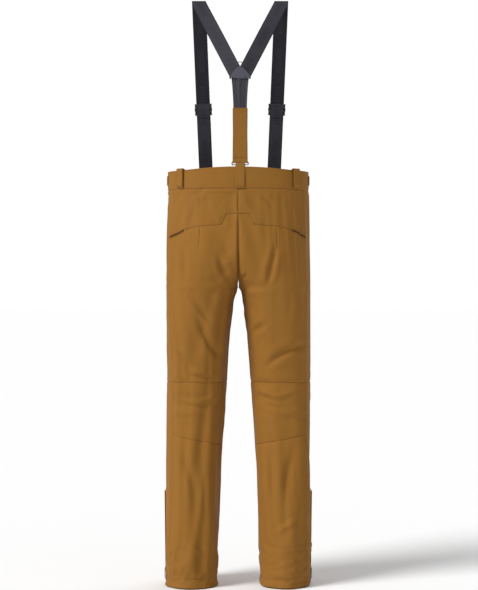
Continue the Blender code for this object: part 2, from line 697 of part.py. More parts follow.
band_y = surface(1, 1.0, 0.0).y
ring_bar = Vector((HARNESS_X, band_y + GAP - 0.0027, 0.0125))
make_back_loop(band_y, ring_bar)
make_ring(ring_bar)
view = make_back_straps(ring_bar)
for label, side in SIDES:
    make_shoulder_strap(label, side, view)
    make_front_strap(label, side)
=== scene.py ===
"""Looks of the padded winter trousers with elastic braces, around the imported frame."""
import json
import math

import bmesh
import bpy
import numpy as np
from mathutils import Matrix, Vector


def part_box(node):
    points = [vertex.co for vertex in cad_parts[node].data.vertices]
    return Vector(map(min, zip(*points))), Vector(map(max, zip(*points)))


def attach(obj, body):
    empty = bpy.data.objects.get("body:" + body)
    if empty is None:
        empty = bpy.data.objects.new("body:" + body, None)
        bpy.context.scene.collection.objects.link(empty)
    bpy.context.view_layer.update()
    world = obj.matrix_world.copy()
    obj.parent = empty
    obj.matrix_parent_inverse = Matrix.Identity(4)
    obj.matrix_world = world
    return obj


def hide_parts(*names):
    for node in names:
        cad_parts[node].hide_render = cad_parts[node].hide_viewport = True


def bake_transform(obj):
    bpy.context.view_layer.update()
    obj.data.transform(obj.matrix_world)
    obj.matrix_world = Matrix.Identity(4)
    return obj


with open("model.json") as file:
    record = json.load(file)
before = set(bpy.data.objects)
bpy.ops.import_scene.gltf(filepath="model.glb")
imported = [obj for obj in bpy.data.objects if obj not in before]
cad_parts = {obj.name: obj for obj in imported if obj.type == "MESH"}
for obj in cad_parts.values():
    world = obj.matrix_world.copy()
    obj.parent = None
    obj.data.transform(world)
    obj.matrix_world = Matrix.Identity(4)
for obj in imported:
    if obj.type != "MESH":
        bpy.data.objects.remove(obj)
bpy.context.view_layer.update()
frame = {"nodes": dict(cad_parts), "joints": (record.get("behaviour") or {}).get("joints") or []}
NODES = frame["nodes"]
PIVOTS = {joint["child"]: np.array(joint["pos_m"]) for joint in frame["joints"] if "pos_m" in joint}
SIDES = (("L", 1), ("R", -1))

# ---- scale of the cloth ---------------------------------------------------------------------
ROUNDNESS = 2.3             # exponent of the leg sections, as in the frame
SIDE_SEAM = 0.30            # outseam, as a fraction of the way round from side to centre
CLOTH_STEP = 0.0038         # spacing of the cloth mesh
CLOTH_THICK = 0.0026
SEAM_DEPTH = 0.0009         # how far a stitched seam pulls in
SEAM_SPREAD = 0.0024
SEAM_CUT = 0.0004           # and the crease at its very edge
SEAM_CUT_SPREAD = 0.0009
SEAM_LAP = 0.0030           # how far the panels reach up behind the waistband
PUFF_DEPTH = 0.0010         # the wadding is flatter for a finger's width beside a seam
PUFF_SPREAD = 0.0085
STITCH_LENGTH = 0.0030
STITCH_PITCH = 0.0037
THREAD = 0.00032
WEB = 0.0018                # thickness of the webbing
WEB_HALF = 0.019            # and half its width
HEM_DEPTH = 0.0006
HEM_SPREAD = 0.0018

DOWN = (0, 0, -1)
UP = (0, 0, 1)
FORWARD = (0, -1, 0)        # the way the wearer faces

WAIST_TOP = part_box("waistband_front_L")[1].z
BAND_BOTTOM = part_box("waistband_front_L")[0].z
BACK_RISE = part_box("waistband_back")[1].z - WAIST_TOP
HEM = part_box("back_calf_L")[0].z
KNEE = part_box("back_knee_L")[1].z
CROTCH = -0.313
LOWER_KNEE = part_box("back_calf_L")[1].z
LOWER_KNEE_DROP = LOWER_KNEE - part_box("back_knee_L")[0].z


# ---- small tools -------------------------------------------------------------------------------
def unit(v):
    return v / np.maximum(np.linalg.norm(v, axis=-1, keepdims=True), 1e-12)


def bell(x, centre, width):
    return np.exp(-((x - centre) / width) ** 2)


def smooth_step(t):
    """From 0 to 1 with a level start and end, as t goes from 0 to 1."""
    t = np.clip(t, 0.0, 1.0)
    return t * t * (3 - 2 * t)


def running_length(points):
    """The distance from the first point to each point of a line."""
    return np.concatenate([[0], np.cumsum(np.linalg.norm(np.diff(points, axis=0), axis=1))])


def placed(matrix, points):
    """Points carried from a piece's own axes to the shared ones."""
    return np.asarray(points, float) @ matrix[:3, :3].T + matrix[:3, 3]


def vertex_array(mesh):
    points = np.empty(len(mesh.vertices) * 3)
    mesh.vertices.foreach_get("co", points)
    return points.reshape(-1, 3)


def grid_faces(index, wrap=False):
    """Quads between the neighbours in a grid of vertex numbers. wrap joins its last column to
    its first."""
    beside = np.roll(index, -1, axis=1) if wrap else index[:, 1:]
    index = index if wrap else index[:, :-1]
    return np.stack([index[:-1], beside[:-1], beside[1:], index[1:]], axis=-1).reshape(-1, 4)


def numbered(rows, columns):
    return np.arange(rows * columns).reshape(rows, columns)


# ---- the trouser surface, measured from the frame ---------------------------------------------
def slice_points(names, z):
    """Where the frame's solids cross a level, as an array of x and y."""
    found = []
    for name in names:
        mesh = NODES[name].data
        points = vertex_array(mesh)
        edges = np.empty(len(mesh.edges) * 2, int)
        mesh.edges.foreach_get("vertices", edges)
        a, b = points[edges.reshape(-1, 2)[:, 0]], points[edges.reshape(-1, 2)[:, 1]]
        crossing = (a[:, 2] - z) * (b[:, 2] - z) < 0
        a, b = a[crossing], b[crossing]
        t = ((z - a[:, 2]) / (b[:, 2] - a[:, 2]))[:, None]
        found.append((a + (b - a) * t)[:, :2])
    return np.concatenate(found)


def measure_sections():
    """Outer x, inner x, centre y and half depth of the left leg and hip at each level."""
    levels = np.linspace(WAIST_TOP - 0.003, HEM + 0.002, 90)
    panels = ["front_thigh_L", "seat_L", "back_yoke_L", "back_knee_L", "front_shin_L", "back_calf_L"]
    rows = []
    for z in levels:
        names = ["waistband_front_L", "waistband_back"] if z > BAND_BOTTOM else panels
        points = slice_points(names, z)
        points = points[points[:, 0] > -0.001]
        outer, inner = points[:, 0].max(), points[:, 0].min()
        front, back = points[:, 1].min(), points[:, 1].max()
        half, centre = (back - front) / 2, (back + front) / 2
        if inner < 0.002 and z > CROTCH:
            at_centre = points[points[:, 0] < 0.0015][:, 1]
            reach = min((at_centre.max() - at_centre.min()) / 2 / half, 1.0)
            share = (1 - reach ** ROUNDNESS) ** (1 / ROUNDNESS)
            half_x = outer / (1 + share)
            inner = outer - 2 * half_x
        rows.append((outer, inner, centre, half))
    rows = np.array(rows)
    fine = np.linspace(levels[0] + 0.04, levels[-1] - 0.04, 900)
    kernel = np.exp(-np.linspace(-2.2, 2.2, 33) ** 2)
    kernel /= kernel.sum()
    columns = []
    for k in range(4):
        column = np.interp(-fine, -levels, rows[:, k])
        padded = np.pad(column, 16, mode="edge")
        columns.append(np.convolve(padded, kernel, mode="valid"))
    return fine, columns


LEVELS, SECTIONS = measure_sections()


def section(z, depth):
    """The leg's section at z, drawn in by depth: centre, half sizes and the angle of its end."""
    outer, inner, centre_y, half = (np.interp(-z, -LEVELS, column) for column in SECTIONS)
    centre_x = (outer + inner) / 2
    half_x = (outer - inner) / 2 - depth
    reach = np.clip(centre_x / half_x, 0.0, 1.0)
    end = np.arccos(-reach ** (ROUNDNESS / 2))
    return centre_x, centre_y, half_x, half - depth, end


def turn(s, z, end):
    """The angle round the section: straight down the hip, drifting back over the thigh."""
    spread = math.pi / 2 + 0.7 * smooth_step((-0.2 - z) / 0.4)
    return spread * s + (end - spread) * s ** 3


def bare(side, s, z, depth=0.0):
    """A point on the frame's surface, for arrays s and z. s is -1 at the centre front, 0 at
    the side and 1 at the centre back; below the crotch both ends are the inseam."""
    s, z = np.broadcast_arrays(np.asarray(s, float), np.asarray(z, float))
    centre_x, centre_y, half_x, half_y, end = section(z, depth)
    angle = turn(s, z, end)
    c, k = np.cos(angle), np.sin(angle)
    x = centre_x + half_x * np.sign(c) * np.abs(c) ** (2 / ROUNDNESS)
    y = centre_y + half_y * np.sign(k) * np.abs(k) ** (2 / ROUNDNESS)
    return np.stack([side * np.maximum(x, 0.0), y, z], axis=-1)


def normals(side, s, z):
    """The way out of the frame's surface at s and z."""
    s, z = np.broadcast_arrays(np.asarray(s, float), np.asarray(z, float))
    ds, dz = 0.012, 0.008
    across = bare(side, np.clip(s + ds, -1, 1), z) - bare(side, np.clip(s - ds, -1, 1), z)
    down = bare(side, s, z - dz) - bare(side, s, z + dz)
    n = side * np.cross(down, across)
    above = np.clip((z - CROTCH) / 0.02, 0, 1)
    near = 1 - np.clip(np.abs(bare(side, s, z)[..., 0]) / 0.02, 0, 1)
    n[..., 0] *= 1 - above * near
    return n / np.linalg.norm(n, axis=-1, keepdims=True)


# ---- seams -----------------------------------------------------------------------------------
def position_at(x, z):
    """The s value on the back at a distance x from the centre plane."""
    centre_x, _, half_x, _, end = section(z, 0.0)
    reach = np.clip((x - centre_x) / half_x, -1, 1)
    angle = np.arccos(np.sign(reach) * np.abs(reach) ** (ROUNDNESS / 2))
    low, high = 0.0, 1.0
    for _ in range(30):
        middle = (low + high) / 2
        if turn(middle, z, end) < angle:
            low = middle
        else:
            high = middle
    return low


# Corners of the yoke's lower seam: distance from the centre plane, height
YOKE_CORNERS = ((0.187, -0.184), (0.180, -0.1785), (0.147, -0.161), (0.114, -0.151), (0.0435, -0.146),
                (0.030, -0.117), (0.0, -0.117))
YOKE_S = np.array([SIDE_SEAM] + [position_at(x, z) for x, z in YOKE_CORNERS[1:-1]] + [1.0])
YOKE_Z = np.array([z for _, z in YOKE_CORNERS])


def yoke_seam(s):
    """The height of the yoke's lower seam."""
    return np.interp(s, YOKE_S, YOKE_Z)


def lower_knee_seam(s):
    """The height of the slanted seam below the knee panel."""
    return LOWER_KNEE - LOWER_KNEE_DROP * (np.asarray(s) - SIDE_SEAM) / (1 - SIDE_SEAM)


def band_top(s):
    """The height of the waistband's upper edge, which rises at the back."""
    return WAIST_TOP + BACK_RISE * smooth_step((np.asarray(s) - 0.35) / 0.65)


def level(z):
    """A seam at one height."""
    return lambda s: np.full_like(np.asarray(s, float), z)


DART_S = position_at(0.103, -0.18)
DART_END = -0.215
HEM_STITCH = HEM + 0.022


def seam_distance(s, z):
    """Distance to the nearest seam in metres, for arrays s and z."""
    ds = 0.004
    width = bare(1, np.clip(s + ds, -1, 1), z) - bare(1, np.clip(s - ds, -1, 1), z)
    width = np.linalg.norm(width, axis=-1) / (2 * ds)
    legs = z < BAND_BOTTOM
    distances = [np.abs(z - BAND_BOTTOM), np.where(legs, np.abs(s - SIDE_SEAM) * width, 1.0),
                 np.where(legs | (s < 0), (1 - np.abs(s)) * width, 1.0), np.abs(z - KNEE)]
    back = s > SIDE_SEAM
    # The yoke seam has a steep step, so its distance is measured to the line, not straight down
    best = np.full(s.shape, 1.0)
    for (s0, z0), (s1, z1) in zip(zip(YOKE_S, YOKE_Z), zip(YOKE_S[1:], YOKE_Z[1:])):
        span = (s1 - s0) * width
        px, pz = (s - s0) * width, z - z0
        t = np.clip((px * span + pz * (z1 - z0)) / (span ** 2 + (z1 - z0) ** 2), 0, 1)
        best = np.minimum(best, np.hypot(px - t * span, pz - t * (z1 - z0)))
    distances.append(np.where(back, best, 1.0))
    distances.append(np.where(back, np.abs(z - lower_knee_seam(s)), 1.0))
    in_dart = (z > DART_END) & (z < yoke_seam(s))
    fade = np.clip((z - DART_END) / 0.02, 0, 1)
    distances.append(np.where(in_dart & back, np.abs(s - DART_S) * width + 0.003 * (1 - fade), 1.0))
    return np.min(distances, axis=0)


# ---- folds -----------------------------------------------------------------------------------
def lattice(ix, iy, iz, seed):
    """A value from -1 to 1 for each whole-number place, the same every time."""
    h = (ix * 73856093) ^ (iy * 19349663) ^ (iz * 83492791) ^ (seed * 2654435761)
    h &= 0x7FFFFFFF
    h = (h ^ (h >> 13)) * 1274126177
    h = h ^ (h >> 16)
    return (h & 0xFFFF) / 32767.5 - 1.0


def smooth_noise(points, size, seed):
    """Seeded value noise from -1 to 1, stretched to the given cell size along each axis."""
    p = points / np.array(size)
    cell = np.floor(p).astype(np.int64)
    f = p - cell
    f = f * f * f * (f * (f * 6 - 15) + 10)
    total = 0.0
    for dx in (0, 1):
        for dy in (0, 1):
            for dz in (0, 1):
                corner = cell + (dx, dy, dz)
                weight = np.prod(np.where((dx, dy, dz), f, 1 - f), axis=-1)
                total = total + weight * lattice(corner[..., 0], corner[..., 1], corner[..., 2], seed)
    return total


# Folds drawn across the cloth: face (1 back, -1 front), points (x, z), width and height.
# A positive height is a ridge between two shallow troughs, a negative one a trough between ridges.
FOLDS = (
    (1, ((0.052, -0.228), (0.043, -0.262), (0.022, -0.294)), 0.0075, -0.0034),
    (1, ((0.030, -0.232), (0.014, -0.240)), 0.0050, -0.0016),
    (1, ((-0.100, -0.206), (-0.086, -0.262), (-0.079, -0.312)), 0.0080, -0.0038),
    (1, ((-0.008, -0.287), (-0.026, -0.276)), 0.0045, -0.0022),
    (1, ((0.109, -0.390), (0.073, -0.470), (0.040, -0.500)), 0.0090, -0.0036),
    (1, ((0.124, -0.340), (0.071, -0.408)), 0.0080, -0.0026),
    (1, ((0.168, -0.482), (0.128, -0.528)), 0.0070, -0.0028),
    (1, ((0.131, -0.548), (0.065, -0.556)), 0.0060, -0.0026),
    (1, ((-0.076, -0.524), (-0.114, -0.492), (-0.182, -0.464)), 0.0090, -0.0036),
    (1, ((-0.036, -0.436), (-0.071, -0.410)), 0.0080, -0.0026),
    (1, ((-0.060, -0.590), (-0.100, -0.604), (-0.150, -0.590)), 0.0070, 0.0022),
    (1, ((-0.070, -0.625), (-0.120, -0.640)), 0.0070, -0.0020),
    (1, ((0.060, -0.600), (0.110, -0.622), (0.165, -0.605)), 0.0075, 0.0018),
    (1, ((0.150, -0.750), (0.118, -0.850), (0.122, -0.960)), 0.0110, -0.0026),
    (1, ((-0.150, -0.740), (-0.126, -0.850), (-0.130, -0.990)), 0.0110, -0.0026),
    (1, ((-0.085, -0.760), (-0.094, -0.880)), 0.0095, -0.0022),
    (1, ((0.150, -0.990), (0.095, -1.020)), 0.0080, 0.0022),
    (1, ((-0.160, -0.930), (-0.100, -0.965)), 0.0080, 0.0020),
    (1, ((0.150, -0.200), (0.142, -0.300)), 0.0090, -0.0020),
    (1, ((-0.040, -0.002), (-0.067, -0.019), (-0.105, -0.036)), 0.0050, -0.0009),
    (1, ((-0.066, -0.074), (-0.092, -0.096)), 0.0055, -0.0014),
    (1, ((0.084, -0.048), (0.122, -0.068)), 0.0070, -0.0012),
    (-1, ((0.020, -0.300), (0.075, -0.345)), 0.0080, -0.0036),
    (-1, ((-0.018, -0.296), (-0.080, -0.335)), 0.0080, -0.0036),
    (-1, ((0.012, -0.270), (0.060, -0.285)), 0.0065, -0.0024),
    (-1, ((-0.014, -0.262), (-0.066, -0.288)), 0.0065, -0.0024),
    (-1, ((0.160, -0.545), (0.100, -0.610), (0.050, -0.590)), 0.0090, -0.0028),
    (-1, ((-0.165, -0.560), (-0.100, -0.625), (-0.050, -0.600)), 0.0090, -0.0028),
    (-1, ((0.120, -0.700), (0.100, -0.900)), 0.0120, -0.0026),
    (-1, ((-0.115, -0.690), (-0.130, -0.930)), 0.0120, -0.0026),
)

FOLD_GAIN = 2.0


def smooth_line(points, steps=10):
    """A smooth curve through given points."""
    p = np.array(points, float)
    if len(p) == 2:
        t = np.linspace(0, 1, steps + 1)[:, None]
        return p[0] * (1 - t) + p[1] * t
    p = np.vstack([2 * p[0] - p[1], p, 2 * p[-1] - p[-2]])
    line = []
    for i in range(1, len(p) - 2):
        for t in np.arange(steps) / steps:
            line.append(0.5 * (2 * p[i] + (p[i + 1] - p[i - 1]) * t
                               + (2 * p[i - 1] - 5 * p[i] + 4 * p[i + 1] - p[i + 2]) * t ** 2
                               + (3 * p[i] - 3 * p[i + 1] + p[i + 2] - p[i - 1]) * t ** 3))
    line.append(p[-2])
    return np.array(line)


def drawn_folds(points, facing):
    """The height of the drawn folds at points whose normals face back by facing (-1 to 1)."""
    total = np.zeros(points.shape[:-1])
    flat = points[..., [0, 2]]
    for face, route, width, height in FOLDS:
        line = smooth_line(route)
        reach = 3.5 * width
        low, high = line.min(0) - reach, line.max(0) + reach
        near = np.all((flat > low) & (flat < high), axis=-1) & (facing * face > 0.05)
        if not near.any():
            continue
        p = flat[near]
        steps = np.diff(line, axis=0)
        lengths = np.linalg.norm(steps, axis=1)
        rel = p[:, None, :] - line[None, :-1, :]
        t = np.clip((rel * steps).sum(-1) / lengths ** 2, 0, 1)
        gap = rel - t[..., None] * steps
        distance = np.linalg.norm(gap, axis=-1)
        pick = distance.argmin(1)
        rows = np.arange(len(p))
        along = (running_length(line)[pick] + t[rows, pick] * lengths[pick]) / lengths.sum()
        cross = steps[pick, 0] * gap[rows, pick, 1] - steps[pick, 1] * gap[rows, pick, 0]
        d = distance[rows, pick] * np.sign(cross)
        taper = np.clip(np.sin(math.pi * np.clip(along * 0.94 + 0.03, 0, 1)), 0, 1) ** 0.8
        main = bell(d, 0, width)
        wing = bell(d, 1.7 * width, 1.4 * width) + bell(d, -1.9 * width, 1.7 * width)
        mask = np.clip(facing[near] * face * 2.5, 0, 1)
        total[near] += FOLD_GAIN * height * taper * mask * (main - 0.42 * wing)
    return total


def cloth_height(points, n):
    """How far the cloth stands off the frame's surface, before it is hung."""
    z = points[..., 2]
    legs = np.clip((BAND_BOTTOM - z) / 0.05, 0, 1)
    lower = np.clip((KNEE - z) / 0.25, 0, 1)
    patches = 0.5 + 0.5 * smooth_noise(points, (0.2, 0.2, 0.12), 21)
    knee_back = bell(z, KNEE - 0.055, 0.07) * np.clip(n[..., 1] + 0.3, 0, 1)
    inner_thigh = bell(z, CROTCH - 0.05, 0.07) * np.clip(1 - np.abs(points[..., 0]) / 0.10, 0, 1)
    cuff = bell(z, HEM + 0.07, 0.07)
    band = np.clip((z - BAND_BOTTOM) / 0.01, 0, 1)
    slanted = points + 0.35 * points[..., [2, 0, 1]]
    # Where each kind of unevenness lies and how high it is, its grain along x, y and z, and its seed
    kinds = ((legs * (0.0028 + 0.0016 * lower), points, (0.045, 0.060, 0.26), 3),
             (legs * 0.0008, points, (0.017, 0.020, 0.075), 8),
             (legs * 0.0010 * patches, points, (0.060, 0.060, 0.030), 5),
             (knee_back * 0.0034, points, (0.075, 0.075, 0.019), 12),
             (inner_thigh * 0.0026, slanted, (0.030, 0.050, 0.024), 15),
             (cuff * 0.0012, points, (0.060, 0.060, 0.024), 18),
             (band * 0.0009, points, (0.030, 0.030, 0.060), 31))
    height = drawn_folds(points, n[..., 1])
    for amount, where, grain, seed in kinds:
        height = height + amount * smooth_noise(where, grain, seed)
    return height


# ---- the hang of the cloth, by cloth simulation ------------------------------------------------
DRAPE_FRAMES = 28
DRAPE_S = np.linspace(-1, 1, 65)
DRAPE_Z = np.linspace(BAND_BOTTOM - 0.004, HEM, 141)
DRAPE_EXTRA = 0.035         # how much too long and wide the cloth is cut
DRAPE_CAP = 0.0062          # no point is moved further than this by the hang
DRAPE_GAIN = 0.8            # share of the hang that the finished cloth shows
DRAPE_FINER = 4             # how many times finer than the simulation its result is kept
INNER_LEG = 0.009           # depth of the firm leg inside
DRAPE = {}                  # side: height of the hung cloth over a fine grid of z and s


def blurred(field, rows, columns):
    """A height field averaged with a bell of the given half widths, its edges repeated."""
    for axis, half in ((0, rows), (1, columns)):
        kernel = np.exp(-np.linspace(-2, 2, 2 * half + 1) ** 2)
        kernel /= kernel.sum()
        padded = np.pad(field, [(half, half) if k == axis else (0, 0) for k in (0, 1)], mode="edge")
        field = np.apply_along_axis(np.convolve, axis, padded, kernel, mode="valid")
    return field


def mesh_object(name, points, faces):
    mesh = bpy.data.meshes.new(name)
    mesh.from_pydata(points.reshape(-1, 3).tolist(), [], faces.tolist())
    return new_object(name, mesh)


def hang(leg, held):
    """Gives the leg a heavy, padded cloth's behaviour, held by a vertex group, and lets it hang."""
    modifier = leg.modifiers.new("cloth", "CLOTH")
    settings = modifier.settings
    settings.quality = 4
    settings.mass = 0.35
    settings.tension_stiffness = settings.compression_stiffness = 18
    settings.shear_stiffness = 6
    settings.bending_stiffness = 0.6
    settings.shrink_min = settings.shrink_max = -DRAPE_EXTRA
    settings.vertex_group_mass = held.name
    settings.pin_stiffness = 1.0
    modifier.collision_settings.distance_min = 0.002
    modifier.collision_settings.use_self_collision = False
    modifier.point_cache.frame_end = DRAPE_FRAMES
    for number in range(1, DRAPE_FRAMES + 1):
        bpy.context.scene.frame_set(number)
    return vertex_array(leg.evaluated_get(bpy.context.evaluated_depsgraph_get()).data)


def hang_leg(side, seed):
    """Hangs one leg with its half of the hip from the waistband, cut a little too long and held
    at its seams, over a firm inner leg. Returns how far each point came off the frame."""
    s, z = np.meshgrid(DRAPE_S, DRAPE_Z)
    ground, n = bare(side, s, z), normals(side, s, z)
    start = ground + n * (0.0010 * smooth_noise(ground, (0.03, 0.03, 0.02), seed))[..., None]
    # Below the crotch the first and last columns are one seam
    closed = np.linalg.norm(ground[:, 0] - ground[:, -1], axis=1) < 0.002
    index = numbered(*s.shape)
    index[closed, -1] = index[closed, 0]
    used, compact = np.unique(index, return_inverse=True)
    compact = compact.reshape(s.shape)
    leg = mesh_object("hanging_leg", start.reshape(-1, 3)[used], grid_faces(compact))
    body = mesh_object("inner_leg", bare(side, s, z, INNER_LEG), grid_faces(numbered(*s.shape)))
    body.modifiers.new("collision", "COLLISION")
    body.collision.thickness_outer = 0.002

    held = leg.vertex_groups.new(name="held")
    fixed = np.zeros(s.shape, bool)
    fixed[0] = fixed[-1] = True
    fixed[~closed, 0] = fixed[~closed, -1] = True
    seams = (np.abs(s - SIDE_SEAM) < 0.02) | (np.abs(z - KNEE) < 0.005)
    held.add(np.unique(compact[fixed]).tolist(), 1.0, "REPLACE")
    held.add(np.setdiff1d(compact[seams & ~fixed], compact[fixed]).tolist(), 0.25, "REPLACE")
    points = hang(leg, held)[compact]
    for piece in (leg, body):
        mesh = piece.data
        bpy.data.objects.remove(piece)
        bpy.data.meshes.remove(mesh)
    bpy.context.scene.frame_set(1)
    return ((points - ground) * n).sum(-1)


def finer(field):
    """A height field with more columns, read in straight lines between the old ones."""
    count = field.shape[1]
    places = np.linspace(0, count - 1, DRAPE_FINER * count)
    return np.array([np.interp(places, np.arange(count), row) for row in field])


def measure_drape():
    """Both legs' hang as smooth height fields, without the general swelling."""
    for side, seed in ((1, 61), (-1, 84)):
        height = np.clip(np.nan_to_num(hang_leg(side, seed)), -0.03, 0.03)
        height = height - blurred(height, 9, 6)
        height = DRAPE_CAP * np.tanh(height / DRAPE_CAP)
        DRAPE[side] = blurred(finer(finer(height).T).T, DRAPE_FINER + 1, DRAPE_FINER + 1)
        DRAPE[side][:4] = 0


def drape_height(side, s, z):
    """The hung cloth's height off the frame at s and z."""
    if side not in DRAPE:
        return np.zeros(s.shape)
    field = DRAPE[side]
    u = np.clip((s + 1) / 2, 0, 1) * (field.shape[1] - 1.001)
    v = np.clip((DRAPE_Z[0] - z) / (DRAPE_Z[0] - DRAPE_Z[-1]), 0, 1) * (field.shape[0] - 1.001)
    i, j = u.astype(int), v.astype(int)
    u, v = u - i, v - j
    return ((field[j, i] * (1 - u) + field[j, i + 1] * u) * (1 - v)
            + (field[j + 1, i] * (1 - u) + field[j + 1, i + 1] * u) * v)


BEDS = []                   # flat places for the zips: inverse frame, half sizes


def measure_beds():
    """Finds the flat places that the zips and the fly's flap need in the cloth."""
    names = [f"{kind}_tape_{label}" for label, _ in SIDES for kind in ("pocket", "cuff")]
    for name in (*names, "fly_tape", "fly_flap"):
        place, sizes = plate_frame(name, DOWN, outward(name))
        BEDS.append((np.array(place.inverted()), sizes))


def flatten_for_zips(point, n):
    """Moves the cloth along its normal so that it lies just under each zip's tape."""
    for inverse, (half_x, half_y, half_z) in BEDS:
        local = placed(inverse, point)
        outside = np.hypot(np.clip(np.abs(local[..., 0]) - half_x, 0, None),
                           np.clip(np.abs(local[..., 1]) - half_y, 0, None))
        near = smooth_step((1 - outside / 0.014) * (np.abs(local[..., 2]) < 0.02))
        lean = np.maximum(n @ inverse[2, :3], 0.5)
        point = point + n * (near * (-half_z - 0.0002 - local[..., 2]) / lean)[..., None]
    return point


def cloth(side, s, z, lift=0.0, seams=True):
    """A point on the finished cloth, lifted off it by lift."""
    s, z = np.broadcast_arrays(np.asarray(s, float), np.asarray(z, float))
    base = bare(side, s, z)
    n = normals(side, s, z)
    height = cloth_height(base, n) + DRAPE_GAIN * drape_height(side, s, z)
    # The two halves stay together along the centre seams
    above = np.clip(np.abs(base[..., 0]) / 0.006, 0, 1) * np.clip((z - CROTCH) / 0.02, 0, 1)
    height = height * np.clip(above + np.clip((CROTCH - z) / 0.01, 0, 1), 0.0, 1.0)
    if seams:
        d = seam_distance(s, z)
        pucker = 1 + 0.35 * smooth_noise(base, (0.013, 0.013, 0.013), 40)
        height -= SEAM_DEPTH * pucker * bell(d, 0, SEAM_SPREAD)
        height -= SEAM_CUT * bell(d, 0, SEAM_CUT_SPREAD)
        height -= PUFF_DEPTH * bell(d, 0, PUFF_SPREAD)
        height -= HEM_DEPTH * bell(z, HEM_STITCH, HEM_SPREAD)
    point = flatten_for_zips(base + n * height[..., None], n)
    point = point + n * (lift + np.zeros(height.shape))[..., None]
    point[..., 0] = side * np.maximum(point[..., 0] * side, 0.0)
    return point


# ---- meshes ----------------------------------------------------------------------------------
def new_object(name, mesh):
    piece = bpy.data.objects.new(name, mesh)
    bpy.context.scene.collection.objects.link(piece)
    return piece


def set_weave(mesh, weave):
    """Keeps each point's place in the weave: across, along, and from -1 to 1 between the edges."""
    attribute = mesh.attributes.new("weave", "FLOAT_VECTOR", "POINT")
    attribute.data.foreach_set("vector", np.asarray(weave, np.float32).ravel())


def grid_mesh(name, points, weave, flip):
    """A mesh from a grid of points, with its place in the weave as an attribute."""
    quads = grid_faces(numbered(*points.shape[:2]))[:, [0, 3, 2, 1]]
    if flip:
        quads = quads[:, ::-1]
    mesh = bpy.data.meshes.new(name)
    mesh.from_pydata(points.reshape(-1, 3).tolist(), [], quads.tolist())
    set_weave(mesh, np.concatenate([weave, np.zeros((*weave.shape[:2], 1))], axis=-1))
    mesh.shade_smooth()
    return mesh


def finished(name, mesh, materials, sharp=None):
    """An object with smooth shading, creased where its faces meet at more than sharp degrees."""
    for material in materials:
        mesh.materials.append(MATERIALS[material])
    mesh.shade_smooth()
    if sharp:
        mesh.set_sharp_from_angle(angle=math.radians(sharp))
    return new_object(name, mesh)


def mesh_of(name, bm):
    mesh = bpy.data.meshes.new(name)
    bm.to_mesh(mesh)
    bm.free()
    return mesh


def spaced(length, step, dense=()):
    """Positions from 0 to length, closer together beside both ends and beside the dense ones."""
    near = np.array([0.0, 0.0005, 0.0012, 0.0021, 0.0032, 0.0046, 0.0064, 0.0088])
    places = list(near) + list(length - near)
    for place in dense:
        places += list(place + near) + list(place - near)
    places += list(np.linspace(0, length, max(int(length / step), 4)))
    places = np.unique(np.clip(places, 0, length))
    keep = [0.0]
    fine = np.array([0.0, length, *dense])
    for place in places[1:-1]:
        gap = 0.00045 if np.abs(fine - place).min() < 0.009 else 0.6 * step
        if place - keep[-1] > gap and length - place > 0.0003:
            keep.append(place)
    return np.array(keep + [length]) / length


def cloth_panel(name, side, s0, s1, top, bottom, lap=(0, 0, 0, 0), dense_s=(), dense_z=(), replaces=None):
    """One sewn panel between two lines of equal s and two seams, as thick as its wadding.
    lap is how far it stands proud of its neighbour at its top, bottom, s0 and s1 edges."""
    probe = np.linspace(s0, s1, 60)
    middle_z = (top(probe) + bottom(probe)) / 2
    width = running_length(bare(side, probe, middle_z))[-1]
    length = float(np.max(top(probe) - bottom(probe)))
    u = spaced(width, CLOTH_STEP, [(k - s0) / (s1 - s0) * width for k in dense_s])
    s = s0 + (s1 - s0) * u
    top_z = float(np.max(top(probe)))
    v = spaced(length, CLOTH_STEP, [top_z - k for k in dense_z])[:, None]
    z = top(s)[None, :] * (1 - v) + bottom(s)[None, :] * v
    s = np.broadcast_to(s, z.shape)
    edges = (v * length, (1 - v) * length, u * width, (1 - u) * width)
    rise = sum(height * bell(distance, 0, 0.005) for height, distance in zip(lap, edges))
    points = cloth(side, s, z, rise)
    ground = bare(side, s, z)
    around = np.cumsum(np.linalg.norm(np.diff(ground, axis=1), axis=-1), axis=1)
    across = np.concatenate([np.zeros((len(v), 1)), around], axis=1)
    mesh = grid_mesh(name, points, np.stack([across, z], axis=-1), flip=side < 0)
    piece = finished(name + "_cloth", mesh, ("shell_ochre", "lining_grey"))
    solid = piece.modifiers.new("wadding", "SOLIDIFY")
    solid.thickness = CLOTH_THICK
    solid.offset = -1
    solid.use_even_offset = False
    solid.material_offset = 1
    solid.material_offset_rim = 0
    done(piece, "trousers", replaces or [name])


def done(piece, body, replaces=()):
    """Hangs a finished piece on its body and hides the frame's parts that it stands for."""
    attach(piece, body)
    if replaces:
        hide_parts(*replaces)
    return piece


# ---- materials -------------------------------------------------------------------------------
def node_material(name, colour, roughness, metallic=0.0):
    material = bpy.data.materials.new("look_" + name)
    material.use_nodes = True
    shader = material.node_tree.nodes["Principled BSDF"]
    shader.inputs["Base Color"].default_value = (*colour, 1)
    shader.inputs["Roughness"].default_value = roughness
    shader.inputs["Metallic"].default_value = metallic
    return material, shader, material.node_tree


def add(tree, kind, **inputs):
    node = tree.nodes.new(kind)
    for key, value in inputs.items():
        key = key.replace("_", " ")
        if isinstance(value, bpy.types.NodeSocket):
            tree.links.new(value, node.inputs[key])
        else:
            node.inputs[key].default_value = value
    return node


def math_node(tree, operation, *values):
    node = tree.nodes.new("ShaderNodeMath")
    node.operation = operation
    for socket, value in zip(node.inputs, values):
        if isinstance(value, bpy.types.NodeSocket):
            tree.links.new(value, socket)
        else:
            socket.default_value = value
    return node.outputs[0]


